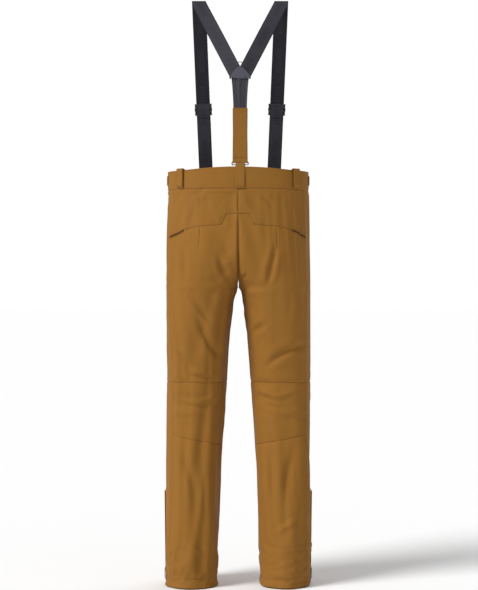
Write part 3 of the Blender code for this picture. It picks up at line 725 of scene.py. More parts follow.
def mix_colour(tree, factor, a, b):
    node = tree.nodes.new("ShaderNodeMix")
    node.data_type = "RGBA"
    for socket, value in ((node.inputs[0], factor), (node.inputs[6], a), (node.inputs[7], b)):
        if isinstance(value, bpy.types.NodeSocket):
            tree.links.new(value, socket)
        else:
            socket.default_value = value if isinstance(value, float) else (*value, 1)
    return node.outputs[2]


def weave_coordinates(tree):
    """The place across the weave, along it, and between its edges."""
    attribute = tree.nodes.new("ShaderNodeAttribute")
    attribute.attribute_name = "weave"
    split = tree.nodes.new("ShaderNodeSeparateXYZ")
    tree.links.new(attribute.outputs["Vector"], split.inputs[0])
    return split.outputs


def waves(tree, coordinate, spacing):
    """A sine with one full wave in each spacing."""
    return math_node(tree, "SINE", math_node(tree, "MULTIPLY", coordinate, 2 * math.pi / spacing))


def ridges(tree, coordinate, spacing):
    """Rounded ridges, one in each spacing."""
    return math_node(tree, "ABSOLUTE", waves(tree, coordinate, 2 * spacing))


def toned(colour, factor):
    return tuple(c * factor for c in colour)


def shell_material(name, colour, thread=0.00062, bump=0.18, sheen=0.03):
    """A plain-woven shell cloth: threads both ways, slubs, and faint blotches of wear."""
    material, shader, tree = node_material(name, colour, 0.72)
    position = tree.nodes.new("ShaderNodeTexCoord").outputs["Object"]
    u, v, _ = weave_coordinates(tree)
    threads = math_node(tree, "MULTIPLY", waves(tree, u, thread), waves(tree, v, thread))
    slubs = add(tree, "ShaderNodeTexNoise", Vector=position, Scale=900.0, Detail=3.0)
    height = math_node(tree, "ADD", math_node(tree, "MULTIPLY", threads, 0.5),
                       math_node(tree, "MULTIPLY", slubs.outputs["Fac"], 1.1))
    creases = add(tree, "ShaderNodeTexNoise", Vector=position, Scale=38.0, Detail=4.0, Roughness=0.55)
    fine = add(tree, "ShaderNodeBump", Strength=bump, Distance=0.0004, Height=height)
    soft = add(tree, "ShaderNodeBump", Strength=0.10, Distance=0.004, Height=creases.outputs["Fac"],
               Normal=fine.outputs["Normal"])
    tree.links.new(soft.outputs["Normal"], shader.inputs["Normal"])
    blotch = add(tree, "ShaderNodeTexNoise", Vector=position, Scale=7.0, Detail=5.0, Roughness=0.6)
    grain = add(tree, "ShaderNodeTexNoise", Vector=position, Scale=1500.0, Detail=2.0)
    shade = math_node(tree, "ADD", math_node(tree, "MULTIPLY", blotch.outputs["Fac"], 0.6),
                      math_node(tree, "MULTIPLY", grain.outputs["Fac"], 0.4))
    shade = mix_colour(tree, shade, toned(colour, 0.86), toned(colour, 1.13))
    tree.links.new(shade, shader.inputs["Base Color"])
    rough = add(tree, "ShaderNodeMapRange", Value=blotch.outputs["Fac"])
    rough.inputs["To Min"].default_value = 0.66
    rough.inputs["To Max"].default_value = 0.80
    tree.links.new(rough.outputs[0], shader.inputs["Roughness"])
    shader.inputs["Sheen Weight"].default_value = sheen
    shader.inputs["Sheen Roughness"].default_value = 0.45
    shader.inputs["Specular IOR Level"].default_value = 0.16
    return material


def webbing_material(name, base, selvedge, motif, motif_gain):
    """Ribbed webbing: cross ribs, fine warp lines, darker selvedges and a row of woven dashes."""
    material, shader, tree = node_material(name, base, 0.62)
    u, v, edge = weave_coordinates(tree)
    position = tree.nodes.new("ShaderNodeTexCoord").outputs["Object"]
    ribs = ridges(tree, v, 0.00105)
    warp = ridges(tree, u, 0.0007)
    fuzz = add(tree, "ShaderNodeTexNoise", Vector=position, Scale=1300.0, Detail=2.0)
    height = math_node(tree, "ADD", math_node(tree, "MULTIPLY", ribs, 0.8),
                       math_node(tree, "MULTIPLY", warp, 0.3))
    height = math_node(tree, "ADD", height, math_node(tree, "MULTIPLY", fuzz.outputs["Fac"], 0.6))
    bump = add(tree, "ShaderNodeBump", Strength=0.35, Distance=0.0004, Height=height)
    tree.links.new(bump.outputs["Normal"], shader.inputs["Normal"])
    # Dashes across the middle, in groups of nine with a plain stretch between groups
    middle = math_node(tree, "LESS_THAN", math_node(tree, "ABSOLUTE", edge), 0.36)
    in_period = math_node(tree, "FRACT", math_node(tree, "DIVIDE", v, 0.104))
    group = math_node(tree, "LESS_THAN", in_period, 0.62)
    dash = math_node(tree, "LESS_THAN", math_node(tree, "FRACT", math_node(tree, "DIVIDE", v, 0.0072)), 0.42)
    mark = math_node(tree, "MULTIPLY", math_node(tree, "MULTIPLY", middle, group), dash)
    mark = math_node(tree, "MULTIPLY", mark, motif_gain)
    worn = add(tree, "ShaderNodeTexNoise", Vector=position, Scale=26.0, Detail=3.0)
    shade = mix_colour(tree, worn.outputs["Fac"], toned(base, 0.88), toned(base, 1.14))
    shade = mix_colour(tree, mark, shade, motif)
    rim = math_node(tree, "GREATER_THAN", math_node(tree, "ABSOLUTE", edge), 0.90)
    shade = mix_colour(tree, math_node(tree, "MULTIPLY", rim, 0.85), shade, selvedge)
    tree.links.new(shade, shader.inputs["Base Color"])
    shader.inputs["Sheen Weight"].default_value = 0.02
    shader.inputs["Specular IOR Level"].default_value = 0.20
    return material


def moulded_material(name, colour, roughness, metallic=0.0, grain=420.0):
    """Moulded or coated hardware: a fine skin texture and uneven gloss."""
    material, shader, tree = node_material(name, colour, roughness, metallic)
    position = tree.nodes.new("ShaderNodeTexCoord").outputs["Object"]
    skin = add(tree, "ShaderNodeTexNoise", Vector=position, Scale=grain * 4, Detail=2.0)
    bump = add(tree, "ShaderNodeBump", Strength=0.12, Distance=0.0002, Height=skin.outputs["Fac"])
    tree.links.new(bump.outputs["Normal"], shader.inputs["Normal"])
    scuffs = add(tree, "ShaderNodeTexNoise", Vector=position, Scale=grain / 4, Detail=4.0)
    rough = add(tree, "ShaderNodeMapRange", Value=scuffs.outputs["Fac"])
    rough.inputs["To Min"].default_value = max(roughness - 0.08, 0.05)
    rough.inputs["To Max"].default_value = roughness + 0.12
    tree.links.new(rough.outputs[0], shader.inputs["Roughness"])
    shade = mix_colour(tree, scuffs.outputs["Fac"], toned(colour, 0.9), toned(colour, 1.12))
    tree.links.new(shade, shader.inputs["Base Color"])
    return material


def fuzzy_material(name, colour, scale):
    """The pile of hook-and-loop."""
    material, shader, tree = node_material(name, colour, 0.95)
    position = tree.nodes.new("ShaderNodeTexCoord").outputs["Object"]
    pile = add(tree, "ShaderNodeTexVoronoi", Vector=position, Scale=scale)
    bump = add(tree, "ShaderNodeBump", Strength=0.7, Distance=0.0006, Height=pile.outputs["Distance"])
    tree.links.new(bump.outputs["Normal"], shader.inputs["Normal"])
    shade = mix_colour(tree, pile.outputs["Distance"], toned(colour, 0.7), toned(colour, 1.3))
    tree.links.new(shade, shader.inputs["Base Color"])
    shader.inputs["Sheen Weight"].default_value = 0.3
    return material


SHELL = (0.285, 0.126, 0.0195)
MATERIALS = {
    "shell_ochre": shell_material("shell_ochre", SHELL),
    "lining_grey": shell_material("lining_grey", (0.050, 0.048, 0.054), 0.0004, 0.08, 0.03),
    "elastic_ochre": shell_material("elastic_ochre", (0.262, 0.116, 0.0185), 0.0009, 0.30),
    "webbing_slate": webbing_material("webbing_slate", (0.036, 0.035, 0.046), (0.012, 0.012, 0.016),
                                      (0.016, 0.016, 0.022), 0.60),
    "webbing_back": webbing_material("webbing_back", (0.0155, 0.0145, 0.021), (0.010, 0.009, 0.013),
                                     (0.036, 0.033, 0.042), 0.50),
    "webbing_stem": webbing_material("webbing_stem", (0.043, 0.043, 0.050), (0.015, 0.015, 0.019),
                                     (0.03, 0.03, 0.036), 0.0),
    "plastic_slate": moulded_material("plastic_slate", (0.066, 0.066, 0.090), 0.50),
    "plastic_dark": moulded_material("plastic_dark", (0.020, 0.0195, 0.026), 0.45),
    "zip_brown": shell_material("zip_brown", (0.050, 0.021, 0.007), 0.0005, 0.3),
    "zip_coil": moulded_material("zip_coil", (0.055, 0.024, 0.009), 0.38),
    "metal_black": moulded_material("metal_black", (0.030, 0.030, 0.034), 0.34, 0.85, 260.0),
    "hook_and_loop": fuzzy_material("hook_and_loop", (0.045, 0.034, 0.022), 900.0),
    "thread": moulded_material("thread", (0.235, 0.105, 0.022), 0.60, 0.0, 900.0),
    "thread_dark": moulded_material("thread_dark", (0.022, 0.021, 0.028), 0.60, 0.0, 900.0),
}


# ---- swept and stitched parts ------------------------------------------------------------------
def flat_section(half_width, thickness, columns=10, crown=0.0):
    """The outline of a strap: flat faces with rounded edges, round from the outer face."""
    radius = thickness / 2
    flat = np.linspace(-half_width + radius, half_width - radius, columns)
    lift = crown * (1 - (flat / half_width) ** 2)
    top = np.stack([flat, radius + lift], axis=1)
    corner = np.linspace(90, -90, 6)[1:-1] * math.pi / 180
    right = np.stack([half_width - radius + radius * np.cos(corner), radius * np.sin(corner)], axis=1)
    bottom = np.stack([flat[::-1], -radius + lift[::-1]], axis=1)
    left = np.stack([-right[::-1, 0], right[::-1, 1]], axis=1)
    return np.concatenate([top, right, bottom, left])


def round_section(radius, sides=8):
    a = np.arange(sides) / sides * 2 * math.pi
    return np.stack([radius * np.cos(a), radius * np.sin(a)], axis=1)


def sweep(name, centres, across, section, material, scale=None, closed=False, back_material=None, hint=None,
          v0=0.0):
    """A solid swept along a path. across is the direction of the section's first axis."""
    centres = np.asarray(centres, float)
    across = np.broadcast_to(np.asarray(across, float), centres.shape)
    if closed:
        tangent = unit(np.roll(centres, -1, axis=0) - np.roll(centres, 1, axis=0))
    else:
        tangent = unit(np.gradient(centres, axis=0))
    across = unit(across - tangent * (across * tangent).sum(-1, keepdims=True))
    out = np.cross(across, tangent)
    if hint is not None and np.dot(out[0], hint) < 0:
        out = -out
    scale = np.ones(len(centres)) if scale is None else np.asarray(scale, float)
    section = np.asarray(section, float)
    sections = section if section.ndim == 3 else np.broadcast_to(section, (len(centres), *section.shape))
    points = (centres[:, None] + across[:, None] * (sections[..., 0:1] * scale[:, None, None])
              + out[:, None] * sections[..., 1:2])
    n, m = points.shape[:2]
    index = numbered(n, m)
    faces = grid_faces(np.vstack([index, index[:1]]) if closed else index, wrap=True).tolist()
    side_of = np.tile(np.roll(sections[0, :, 1], -1) + sections[0, :, 1] < 0, n if closed else n - 1)
    if not closed:
        faces += [index[0, ::-1].tolist(), index[-1].tolist()]
    mesh = bpy.data.meshes.new(name)
    mesh.from_pydata(points.reshape(-1, 3).tolist(), [], faces)
    weave = np.zeros((n, m, 3), np.float32)
    weave[..., 0] = sections[..., 0] * scale[:, None]
    weave[..., 1] = (running_length(centres) + v0)[:, None]
    weave[..., 2] = sections[..., 0] / np.abs(sections[..., 0]).max()
    set_weave(mesh, weave)
    mesh.materials.append(MATERIALS[material])
    if back_material:
        mesh.materials.append(MATERIALS[back_material])
        for polygon, behind in zip(mesh.polygons, side_of):
            polygon.material_index = int(behind)
    fix_normals(mesh)
    return finished(name, mesh, (), 50)


def fix_normals(mesh):
    bm = bmesh.new()
    bm.from_mesh(mesh)
    bmesh.ops.recalc_face_normals(bm, faces=bm.faces)
    bm.to_mesh(mesh)
    bm.free()


def merged(name, parts, material):
    """One mesh from many copies: parts is a list of (vertices, faces)."""
    vertices, faces, base = [], [], 0
    for points, polygons in parts:
        vertices.append(points)
        faces += [[base + i for i in polygon] for polygon in polygons]
        base += len(points)
    mesh = bpy.data.meshes.new(name)
    mesh.from_pydata(np.concatenate(vertices).tolist(), [], faces)
    return finished(name, mesh, (material,))


def tube_faces(rings, sides):
    """The faces of a tube without its ends."""
    return grid_faces(numbered(rings, sides), wrap=True).tolist()


def circle(sides):
    """Cosines and sines of equal steps round a circle."""
    angles = np.arange(sides) / sides * 2 * math.pi
    return np.cos(angles), np.sin(angles)


# A stitch's rings: place along it, thickness, and height in thread radii
STITCH_RINGS = ((-0.5, 0.45, -0.9), (-0.3, 0.95, 0.1), (0.0, 1.0, 0.35), (0.3, 0.95, 0.1),
                (0.5, 0.45, -0.9))
STITCH_SIDES = 5


def stitch_shapes(points, out, length=STITCH_LENGTH, pitch=STITCH_PITCH, thread=THREAD):
    """Little arched stitches along a line on the cloth. out is the cloth's normal at each point."""
    points, out = np.asarray(points, float), np.asarray(out, float)
    along = running_length(points)
    count = max(int(along[-1] / pitch), 1)
    middles = (np.arange(count) + 0.5) * along[-1] / count
    cosines, sines = circle(STITCH_SIDES)
    faces = tube_faces(len(STITCH_RINGS), STITCH_SIDES)
    parts = []
    at = lambda d: np.array([np.interp(d, along, points[:, k]) for k in range(3)])
    for middle in middles:
        a, b = at(middle - length / 2), at(middle + length / 2)
        n = unit(np.array([np.interp(middle, along, out[:, k]) for k in range(3)]))
        direction = unit(b - a)
        cross = np.cross(direction, n)
        rings = [at(middle + t * length) + n * (thread * lift) + thread * fat *
                 (cosines[:, None] * cross + sines[:, None] * n)
                 for t, fat, lift in STITCH_RINGS]
        parts.append((np.concatenate(rings), faces))
    return parts


def cloth_row(side, s, z, lift=0.0):
    """Stitches on the trousers' cloth, along lists of s and z."""
    s, z = np.asarray(s, float), np.asarray(z, float)
    return stitch_shapes(cloth(side, s, z, lift), normals(side, s, z))


def box_stitch(width, height, place, cross=False, lift=0.0, thread=THREAD, pitch=0.0028):
    """A stitched rectangle, with an X in it if cross, in a flat frame."""
    w, h = width / 2, height / 2
    lines = [[(-w, -h), (w, -h)], [(w, -h), (w, h)], [(w, h), (-w, h)], [(-w, h), (-w, -h)]]
    if cross:
        lines += [[(-w, -h), (w, h)], [(-w, h), (w, -h)]]
    parts = []
    for a, b in lines:
        line = np.linspace(a, b, 6)
        points = np.array([place @ Vector((x, y, lift)) for x, y in line])
        out = np.tile(np.array(place.to_3x3() @ Vector((0, 0, 1))), (6, 1))
        parts += stitch_shapes(points, out, pitch * 0.8, pitch, thread)
    return parts


# ---- frames of the frame's flat pieces ---------------------------------------------------------
def plate_frame(name, up, out):
    """Centre, axes and half sizes of a flat CAD piece. Y is the long way and points along up,
    Z is its thickness and points along out."""
    mesh = NODES[name].data
    mesh.calc_loop_triangles()
    points = np.array([v.co for v in mesh.vertices])
    sums = []               # areas of the faces that lie the same way
    for triangle in mesh.loop_triangles:
        a, b, c = (points[i] for i in triangle.vertices)
        vector = np.cross(b - a, c - a)
        for total in sums:
            product = np.dot(vector, total)
            if abs(product) > 0.995 * np.linalg.norm(vector) * np.linalg.norm(total):
                total += vector * np.sign(product)
                break
        else:
            sums.append(vector)
    normal = unit(max(sums, key=np.linalg.norm))
    normal *= np.sign(np.dot(normal, out)) or 1
    flat = points - points.mean(0)
    flat = flat - np.outer(flat @ normal, normal)
    up = np.array(up, float)
    up = unit(up - normal * np.dot(up, normal))
    aside = np.cross(up, normal)
    best = None
    for angle in np.radians(np.arange(-40, 40.01, 0.1)):
        y = up * math.cos(angle) + aside * math.sin(angle)
        x = np.cross(y, normal)
        size = np.ptp(flat @ x) * np.ptp(flat @ y)
        if best is None or size < best[0] - 1e-12:
            best = (size, x, y)
    _, x, y = best
    low = [(points @ axis).min() for axis in (x, y, normal)]
    high = [(points @ axis).max() for axis in (x, y, normal)]
    centre = sum(axis * (a + b) / 2 for axis, a, b in zip((x, y, normal), low, high))
    place = Matrix((*[(x[i], y[i], normal[i], centre[i]) for i in range(3)], (0, 0, 0, 1)))
    return place, [(b - a) / 2 for a, b in zip(low, high)]


def outward(name):
    """Roughly the way out of the trousers for a flat piece of the left or right leg, or the fly."""
    if name.endswith("_L"):
        return (1, -0.2, 0)
    if name.endswith("_R"):
        return (-1, -0.2, 0)
    return FORWARD


def shaped_plate(name, points, thickness, place, material, bevel=0.0004, segments=2, z=0.0):
    """A flat moulded or cut piece with rounded edges."""
    bm = bmesh.new()
    bottom = [bm.verts.new((x, y, z - thickness / 2)) for x, y in points]
    top = [bm.verts.new((x, y, z + thickness / 2)) for x, y in points]
    bm.faces.new(bottom[::-1])
    bm.faces.new(top)
    for i in range(len(points)):
        j = (i + 1) % len(points)
        bm.faces.new((bottom[i], bottom[j], top[j], top[i]))
    bmesh.ops.recalc_face_normals(bm, faces=bm.faces)
    rims = [e for e in bm.edges if abs(e.verts[0].co.z - e.verts[1].co.z) < 1e-9]
    bmesh.ops.bevel(bm, geom=rims, offset=bevel, segments=segments, profile=0.6, affect="EDGES",
                    clamp_overlap=True)
    bm.transform(place)
    mesh = mesh_of(name, bm)
    weave_from_place(mesh, place)
    return finished(name, mesh, (material,), 38)


def weave_from_place(mesh, place):
    """Lays the weave along a flat piece's own axes."""
    weave = placed(np.array(place.inverted()), vertex_array(mesh)).astype(np.float32)
    weave[:, 2] = weave[:, 0] / max(np.abs(weave[:, 0]).max(), 1e-6)
    set_weave(mesh, weave)


def rounded_outline(width, height, radius, centre=(0.0, 0.0), steps=5):
    """The corners of a rectangle with rounded corners."""
    points = []
    for corner in range(4):
        cx = centre[0] + (width / 2 - radius) * (1 if corner in (0, 3) else -1)
        cy = centre[1] + (height / 2 - radius) * (1 if corner in (0, 1) else -1)
        for i in range(steps + 1):
            angle = math.pi / 2 * (corner + i / steps)
            points.append((cx + radius * math.cos(angle), cy + radius * math.sin(angle)))
    return points


def join_pieces(name, objects):
    """One object from several, keeping their materials."""
    bm = bmesh.new()
    materials = []
    for piece in objects:
        for material in piece.data.materials:
            if material not in materials:
                materials.append(material)
    for piece in objects:
        start = len(bm.faces)
        bm.from_mesh(piece.data)
        bm.faces.ensure_lookup_table()
        for face in bm.faces[start:]:
            face.material_index = materials.index(piece.data.materials[face.material_index])
    mesh = mesh_of(name, bm)
    for material in materials:
        mesh.materials.append(material)
    for piece in objects:
        bpy.data.objects.remove(piece, do_unlink=True)
    return new_object(name, mesh)


# ---- trousers --------------------------------------------------------------------------------
def make_trousers():
    """The sewn panels of both legs, hip and waistband."""
    for label, side in SIDES:
        cloth_panel("back_yoke_" + label, side, SIDE_SEAM, 1.0, level(BAND_BOTTOM + SEAM_LAP), yoke_seam,
                    (0, 0.0006, 0.0003, 0))
        cloth_panel("seat_" + label, side, SIDE_SEAM, 1.0, yoke_seam, level(KNEE), (0, 0.0004, 0.0003, 0),
                    dense_s=(DART_S,))
        cloth_panel("back_knee_" + label, side, SIDE_SEAM, 1.0, level(KNEE), lower_knee_seam,
                    (0, 0.0004, 0.0003, 0))
        cloth_panel("back_calf_" + label, side, SIDE_SEAM, 1.0, lower_knee_seam, level(HEM),
                    (0, 0, 0.0003, 0), dense_z=(HEM_STITCH,))
        cloth_panel("front_thigh_" + label, side, -1.0, SIDE_SEAM, level(BAND_BOTTOM + SEAM_LAP), level(KNEE),
                    (0, 0.0004, 0, 0))
        cloth_panel("front_shin_" + label, side, -1.0, SIDE_SEAM, level(KNEE), level(HEM), (0, 0, 0, 0),
                    dense_z=(HEM_STITCH,))
        cloth_panel("waistband_front_" + label, side, -1.0, SIDE_SEAM, level(WAIST_TOP), level(BAND_BOTTOM),
                    (0, 0.0006, 0, 0))
        cloth_panel("waistband_back_" + label, side, SIDE_SEAM, 1.0, band_top, level(BAND_BOTTOM),
                    (0, 0.0006, 0.0003, 0), replaces=["waistband_back"])


def offset_line(points, distance):
    """A polyline moved sideways in its own plane."""
    p = np.array(points, float)
    edges = unit(np.diff(p, axis=0))
    out = np.empty_like(p)
    for i in range(len(p)):
        before, after = edges[max(i - 1, 0)], edges[min(i, len(edges) - 1)]
        n = np.array([-(before[1] + after[1]), before[0] + after[0]])
        n = n / np.linalg.norm(n)
        share = max(np.dot(n, [-after[1], after[0]]), 0.5)
        out[i] = p[i] + n * distance / share
    return out


def dense_line(points, step=0.003):
    """A polyline with points no more than about a step apart."""
    p = np.array(points, float)
    line = [p[0]]
    for a, b in zip(p, p[1:]):
        count = max(int(np.linalg.norm(b - a) / step), 1)
        line += [a + (b - a) * (i + 1) / count for i in range(count)]
    return np.array(line)


def make_seams():
    """Rows of stitches along the seams, and bar tacks at the yoke's corners."""
    for label, side in SIDES:
        parts = []
        front = np.linspace(-0.995, SIDE_SEAM - 0.004, 90)
        back = np.linspace(SIDE_SEAM + 0.004, 0.992, 80)
        for s in (front, back):
            parts += cloth_row(side, s, np.full_like(s, BAND_BOTTOM + 0.0024), 0.0003)
            parts += cloth_row(side, s, band_top(s) - 0.0042)
            parts += cloth_row(side, s, np.full_like(s, HEM_STITCH))
            parts += cloth_row(side, s, np.full_like(s, KNEE + 0.0024))
        parts += cloth_row(side, back, lower_knee_seam(back) + 0.0024)
        yoke = dense_line(offset_line([*YOKE_CORNERS[1:-1], (0.006, YOKE_CORNERS[-1][1])], -0.0024))
        parts += cloth_row(side, [position_at(x, z) for x, z in yoke], yoke[:, 1], 0.0002)
        z = np.linspace(BAND_BOTTOM - 0.004, HEM + 0.004, 300)
        beside = bare(1, np.full_like(z, SIDE_SEAM + 0.01), z)
        width = np.linalg.norm(beside - bare(1, np.full_like(z, SIDE_SEAM), z), axis=1) / 0.01
        parts += cloth_row(side, SIDE_SEAM + 0.0024 / width, z)
        z = np.linspace(YOKE_CORNERS[-1][1] - 0.004, CROTCH + 0.010, 80)
        parts += cloth_row(side, [position_at(0.0030, k) for k in z], z)
        for x, z0 in ((0.0490, -0.1475), (0.0510, -0.1475)):
            line = dense_line([(x, z0 + 0.003), (x - 0.0035, z0 + 0.022)], 0.001)
            s = np.array([position_at(a, b) for a, b in line])
            parts += stitch_shapes(cloth(side, s, line[:, 1]), normals(side, s, line[:, 1]),
                                   0.0014, 0.0012)
        done(merged("seam_stitches_" + label, parts, "thread"), "trousers")


def strip_on_cloth(name, side, line, half_width, thickness, material, lift,
                   replaces=(), crown=0.0):
    """A narrow strip that follows the cloth along a list of (s, z)."""
    line = np.asarray(line, float)
    centres = cloth(side, line[:, 0], line[:, 1], lift, seams=False)
    out = normals(side, line[:, 0], line[:, 1])
    tangent = unit(np.gradient(centres, axis=0))
    piece = sweep(name, centres, np.cross(tangent, out), flat_section(half_width, thickness, 6, crown),
                  material, hint=out[0])
    return done(piece, "trousers", replaces)


def make_back_pockets():
    """The closed zip in the outer end of each yoke seam, between two folded lips."""
    (x0, z0), (x1, z1) = YOKE_CORNERS[1], YOKE_CORNERS[2]
    for label, side in SIDES:
        line = dense_line([(x0, z0), (x1, z1)], 0.0022)
        line = line + np.array([0, 0.0008]) * np.sin(np.linspace(0, math.pi, len(line)))[:, None]
        at = lambda k: [(position_at(x, z), z) for x, z in offset_line(line, k)]
        strip_on_cloth("back_pocket_zip_" + label, side, at(0.0), 0.0019, 0.0008, "zip_brown", 0.0001,
                       replaces=["back_pocket_zip_" + label])
        strip_on_cloth("pocket_lip_upper_" + label, side, at(-0.0030), 0.0013, 0.0012, "shell_ochre",
                       0.0007, crown=0.0002)
        strip_on_cloth("pocket_lip_lower_" + label, side, at(0.0030), 0.0012, 0.0009, "shell_ochre",
                       0.0000, crown=0.0002)
        ends = []
        for k in (0, -1):
            x, z = line[k]
            for step in np.linspace(-0.0035, 0.0035, 6):
                row = [(x + 0.0012, z + step), (x - 0.0012, z + step)]
                s = np.array([position_at(a, b) for a, b in row])
                heights = np.array([b for _, b in row])
                ends += stitch_shapes(cloth(side, s, heights, 0.0013, False),
                                      normals(side, s, heights), 0.0022, 0.0024)
        done(merged("pocket_tacks_" + label, ends, "thread"), "trousers")


# ---- zips ------------------------------------------------------------------------------------
TOOTH_PITCH = 0.0021
TOOTH_SIDES = 6
TOOTH_RINGS = ((-0.0022, 0.5), (-0.0012, 0.95), (0.0, 1.0), (0.0006, 1.1), (0.0010, 0.7))


def zip_chain(name, place, half_length, z, body):
    """Interlocking coil along the Y axis of a frame, from end to end."""
    count = int(2 * half_length / TOOTH_PITCH)
    cosines, sines = circle(TOOTH_SIDES)
    index = numbered(len(TOOTH_RINGS), TOOTH_SIDES)
    faces = tube_faces(*index.shape) + [index[0].tolist(), index[-1, ::-1].tolist()]
    matrix = np.array(place)
    parts = []
    for i in range(count):
        y = -half_length + (i + 0.5) * 2 * half_length / count
        hand = 1 if i % 2 else -1
        rings = []
        for t, fat in TOOTH_RINGS:
            centre = np.array([hand * t, y + hand * 0.00015, z])
            ring = np.stack([0 * sines, 0.00072 * fat * cosines, 0.00060 * fat * sines], axis=1)
            rings.append(centre + ring)
        parts.append((placed(matrix, np.concatenate(rings)), faces))
    return done(merged(name, parts, "zip_coil"), body)


def make_slider(node):
    """A zip slider: two tapered plates on a core, with a bridge over them."""
    place, (w, l, half_z) = plate_frame(node, DOWN, outward(node))
    shape = [(-w, -l), (w, -l), (w * 1.0, -l * 0.3), (w * 0.78, l * 0.25), (w * 0.62, l), (-w * 0.62, l),
             (-w * 0.78, l * 0.25), (-w * 1.0, -l * 0.3)]
    lower = shaped_plate("slider_lower", shape, 0.0007, place, "metal_black", 0.00025, 2, -half_z + 0.00035)
    upper = shaped_plate("slider_upper", shape, 0.0008, place, "metal_black", 0.0003, 2, half_z - 0.0004)
    shape = [(-w * 0.28, -l * 0.2), (w * 0.28, -l * 0.2), (w * 0.2, l * 0.9), (-w * 0.2, l * 0.9)]
    core = shaped_plate("slider_core", shape, half_z * 1.6, place, "metal_black", 0.0002, 1)
    matrix = np.array(place)
    arch = [(0, y * l, half_z + 0.0008 * math.sin(t))
            for y, t in zip(np.linspace(-0.62, 0.62, 9), np.linspace(0, math.pi, 9))]
    bridge = sweep("slider_bridge", placed(matrix, arch), matrix[:3, 0], flat_section(0.0011, 0.0008, 4),
                   "metal_black")
    piece = join_pieces(node + "_body", [lower, upper, core, bridge])
    return done(piece, node, [node])


def make_pull(node, body):
    """A pull: a small metal bail and a moulded tab with ribs."""
    place, (w, l, half_z) = plate_frame(node, DOWN, outward(node))
    outline = rounded_outline(2 * w * 0.86, 2 * l * 0.74, w * 0.42, (0.0, l * 0.24))
    tab = shaped_plate("pull_tab", outline, 2 * half_z, place, "plastic_dark", 0.00035, 2)
    parts = [tab]
    matrix = np.array(place)
    for i in range(5):
        y = l * (0.02 + 0.16 * i)
        rib = placed(matrix, [(x, y, half_z) for x in np.linspace(-w * 0.6, w * 0.6, 5)])
        parts.append(sweep("pull_rib", rib, matrix[:3, 1], round_section(0.00042, 6), "plastic_dark"))
    loop = placed(matrix, [(w * 0.45 * math.cos(a), -l * 0.62 + l * 0.34 * math.sin(a), 0)
                           for a in np.linspace(0, 2 * math.pi, 25)[:-1]])
    parts.append(sweep("pull_bail", loop, matrix[:3, 2], round_section(0.00055, 6), "metal_black",
                       closed=True))
    return done(join_pieces(node + "_tab", parts), body, [node])


def make_zip(kind, label):
    """A zip on a leg: two tapes, the coil, stitches, the shell's folded edges, slider and pull."""
    name = f"{kind}_tape_{label}"
    place, (half_x, half_y, half_z) = plate_frame(name, DOWN, outward(name))
    matrix = np.array(place)
    pieces = []
    for hand in (-1, 1):
        line = placed(matrix, [(hand * (half_x / 2 + 0.0001), y, 0) for y in np.linspace(-half_y, half_y, 60)])
        pieces.append(sweep("half", line, matrix[:3, 0], flat_section(half_x / 2 - 0.0002, 2 * half_z, 6),
                            "zip_brown", hint=matrix[:3, 2]))
    done(join_pieces(name + "_woven", pieces), "trousers", [name])
    zip_chain(f"{kind}_coil_{label}", place, half_y - 0.004, half_z + 0.00035, "trousers")
    rows = []
    for hand in (-1, 1):
        line = placed(matrix, [(hand * (half_x - 0.0022), y, half_z)
                               for y in np.linspace(-half_y, half_y, 30)])
        rows += stitch_shapes(line, np.tile(matrix[:3, 2], (30, 1)))
    done(merged(f"{kind}_stitches_{label}", rows, "thread_dark"), "trousers")
    # Folded edges of the shell, turned back along both sides of the tape
    for hand in (-1, 1):
        line = placed(matrix, [(hand * (half_x - 0.0006), y, half_z + 0.0006)
                               for y in np.linspace(-half_y - 0.001, half_y + 0.001, 50)])
        done(sweep(f"{kind}_edge_{label}_{'a' if hand < 0 else 'b'}", line, matrix[:3, 0],
                   flat_section(0.0026, 0.0013, 5, 0.0003), "shell_ochre", hint=matrix[:3, 2]),
             "trousers")
    make_slider(f"{kind}_slider_{label}")
    make_pull(f"{kind}_pull_{label}", f"{kind}_pull_{label}")


def make_fly():
    """The fly's zip, its flap, and the waist tab with its press stud."""
    place, (half_x, half_y, half_z) = plate_frame("fly_tape", DOWN, FORWARD)
    matrix = np.array(place)
    line = placed(matrix, [(0, y, 0) for y in np.linspace(-half_y, half_y, 50)])
    done(sweep("fly_tape_woven", line, matrix[:3, 0], flat_section(half_x, 2 * half_z, 8), "zip_brown",
               hint=matrix[:3, 2]), "trousers", ["fly_tape"])
    zip_chain("fly_coil", place, half_y - 0.004, half_z + 0.00035, "trousers")
    make_slider("fly_slider")
    make_pull("fly_pull", "fly_slider")
    flap_low, flap_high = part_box("fly_flap")
    make_flap(flap_low, flap_high)
    tab_place, (tab_x, tab_y, tab_z) = plate_frame("waist_tab", UP, FORWARD)
    tab_outline = rounded_outline(2 * tab_x, 2 * tab_y, 0.006)
    done(shaped_plate("waist_tab_cloth", tab_outline, 2 * tab_z, tab_place, "shell_ochre", 0.0007, 3),
         "waist_tab", ["waist_tab"])
    rows = box_stitch(2 * tab_x - 0.007, 2 * tab_y - 0.007, tab_place, lift=tab_z)
    done(merged("waist_tab_stitches", rows, "thread"), "waist_tab")
    stud_place, (stud_r, _, stud_z) = plate_frame("press_stud", UP, FORWARD)
    profile = [(0, stud_z * 0.9), (stud_r * 0.55, stud_z), (stud_r * 0.72, stud_z * 0.75),
               (stud_r * 0.95, stud_z * 0.1), (stud_r, -stud_z * 0.5), (stud_r * 0.97, -stud_z), (0, -stud_z)]
    done(turned("press_stud_cap", stud_place, profile, "metal_black"), "waist_tab",
         ["press_stud"])


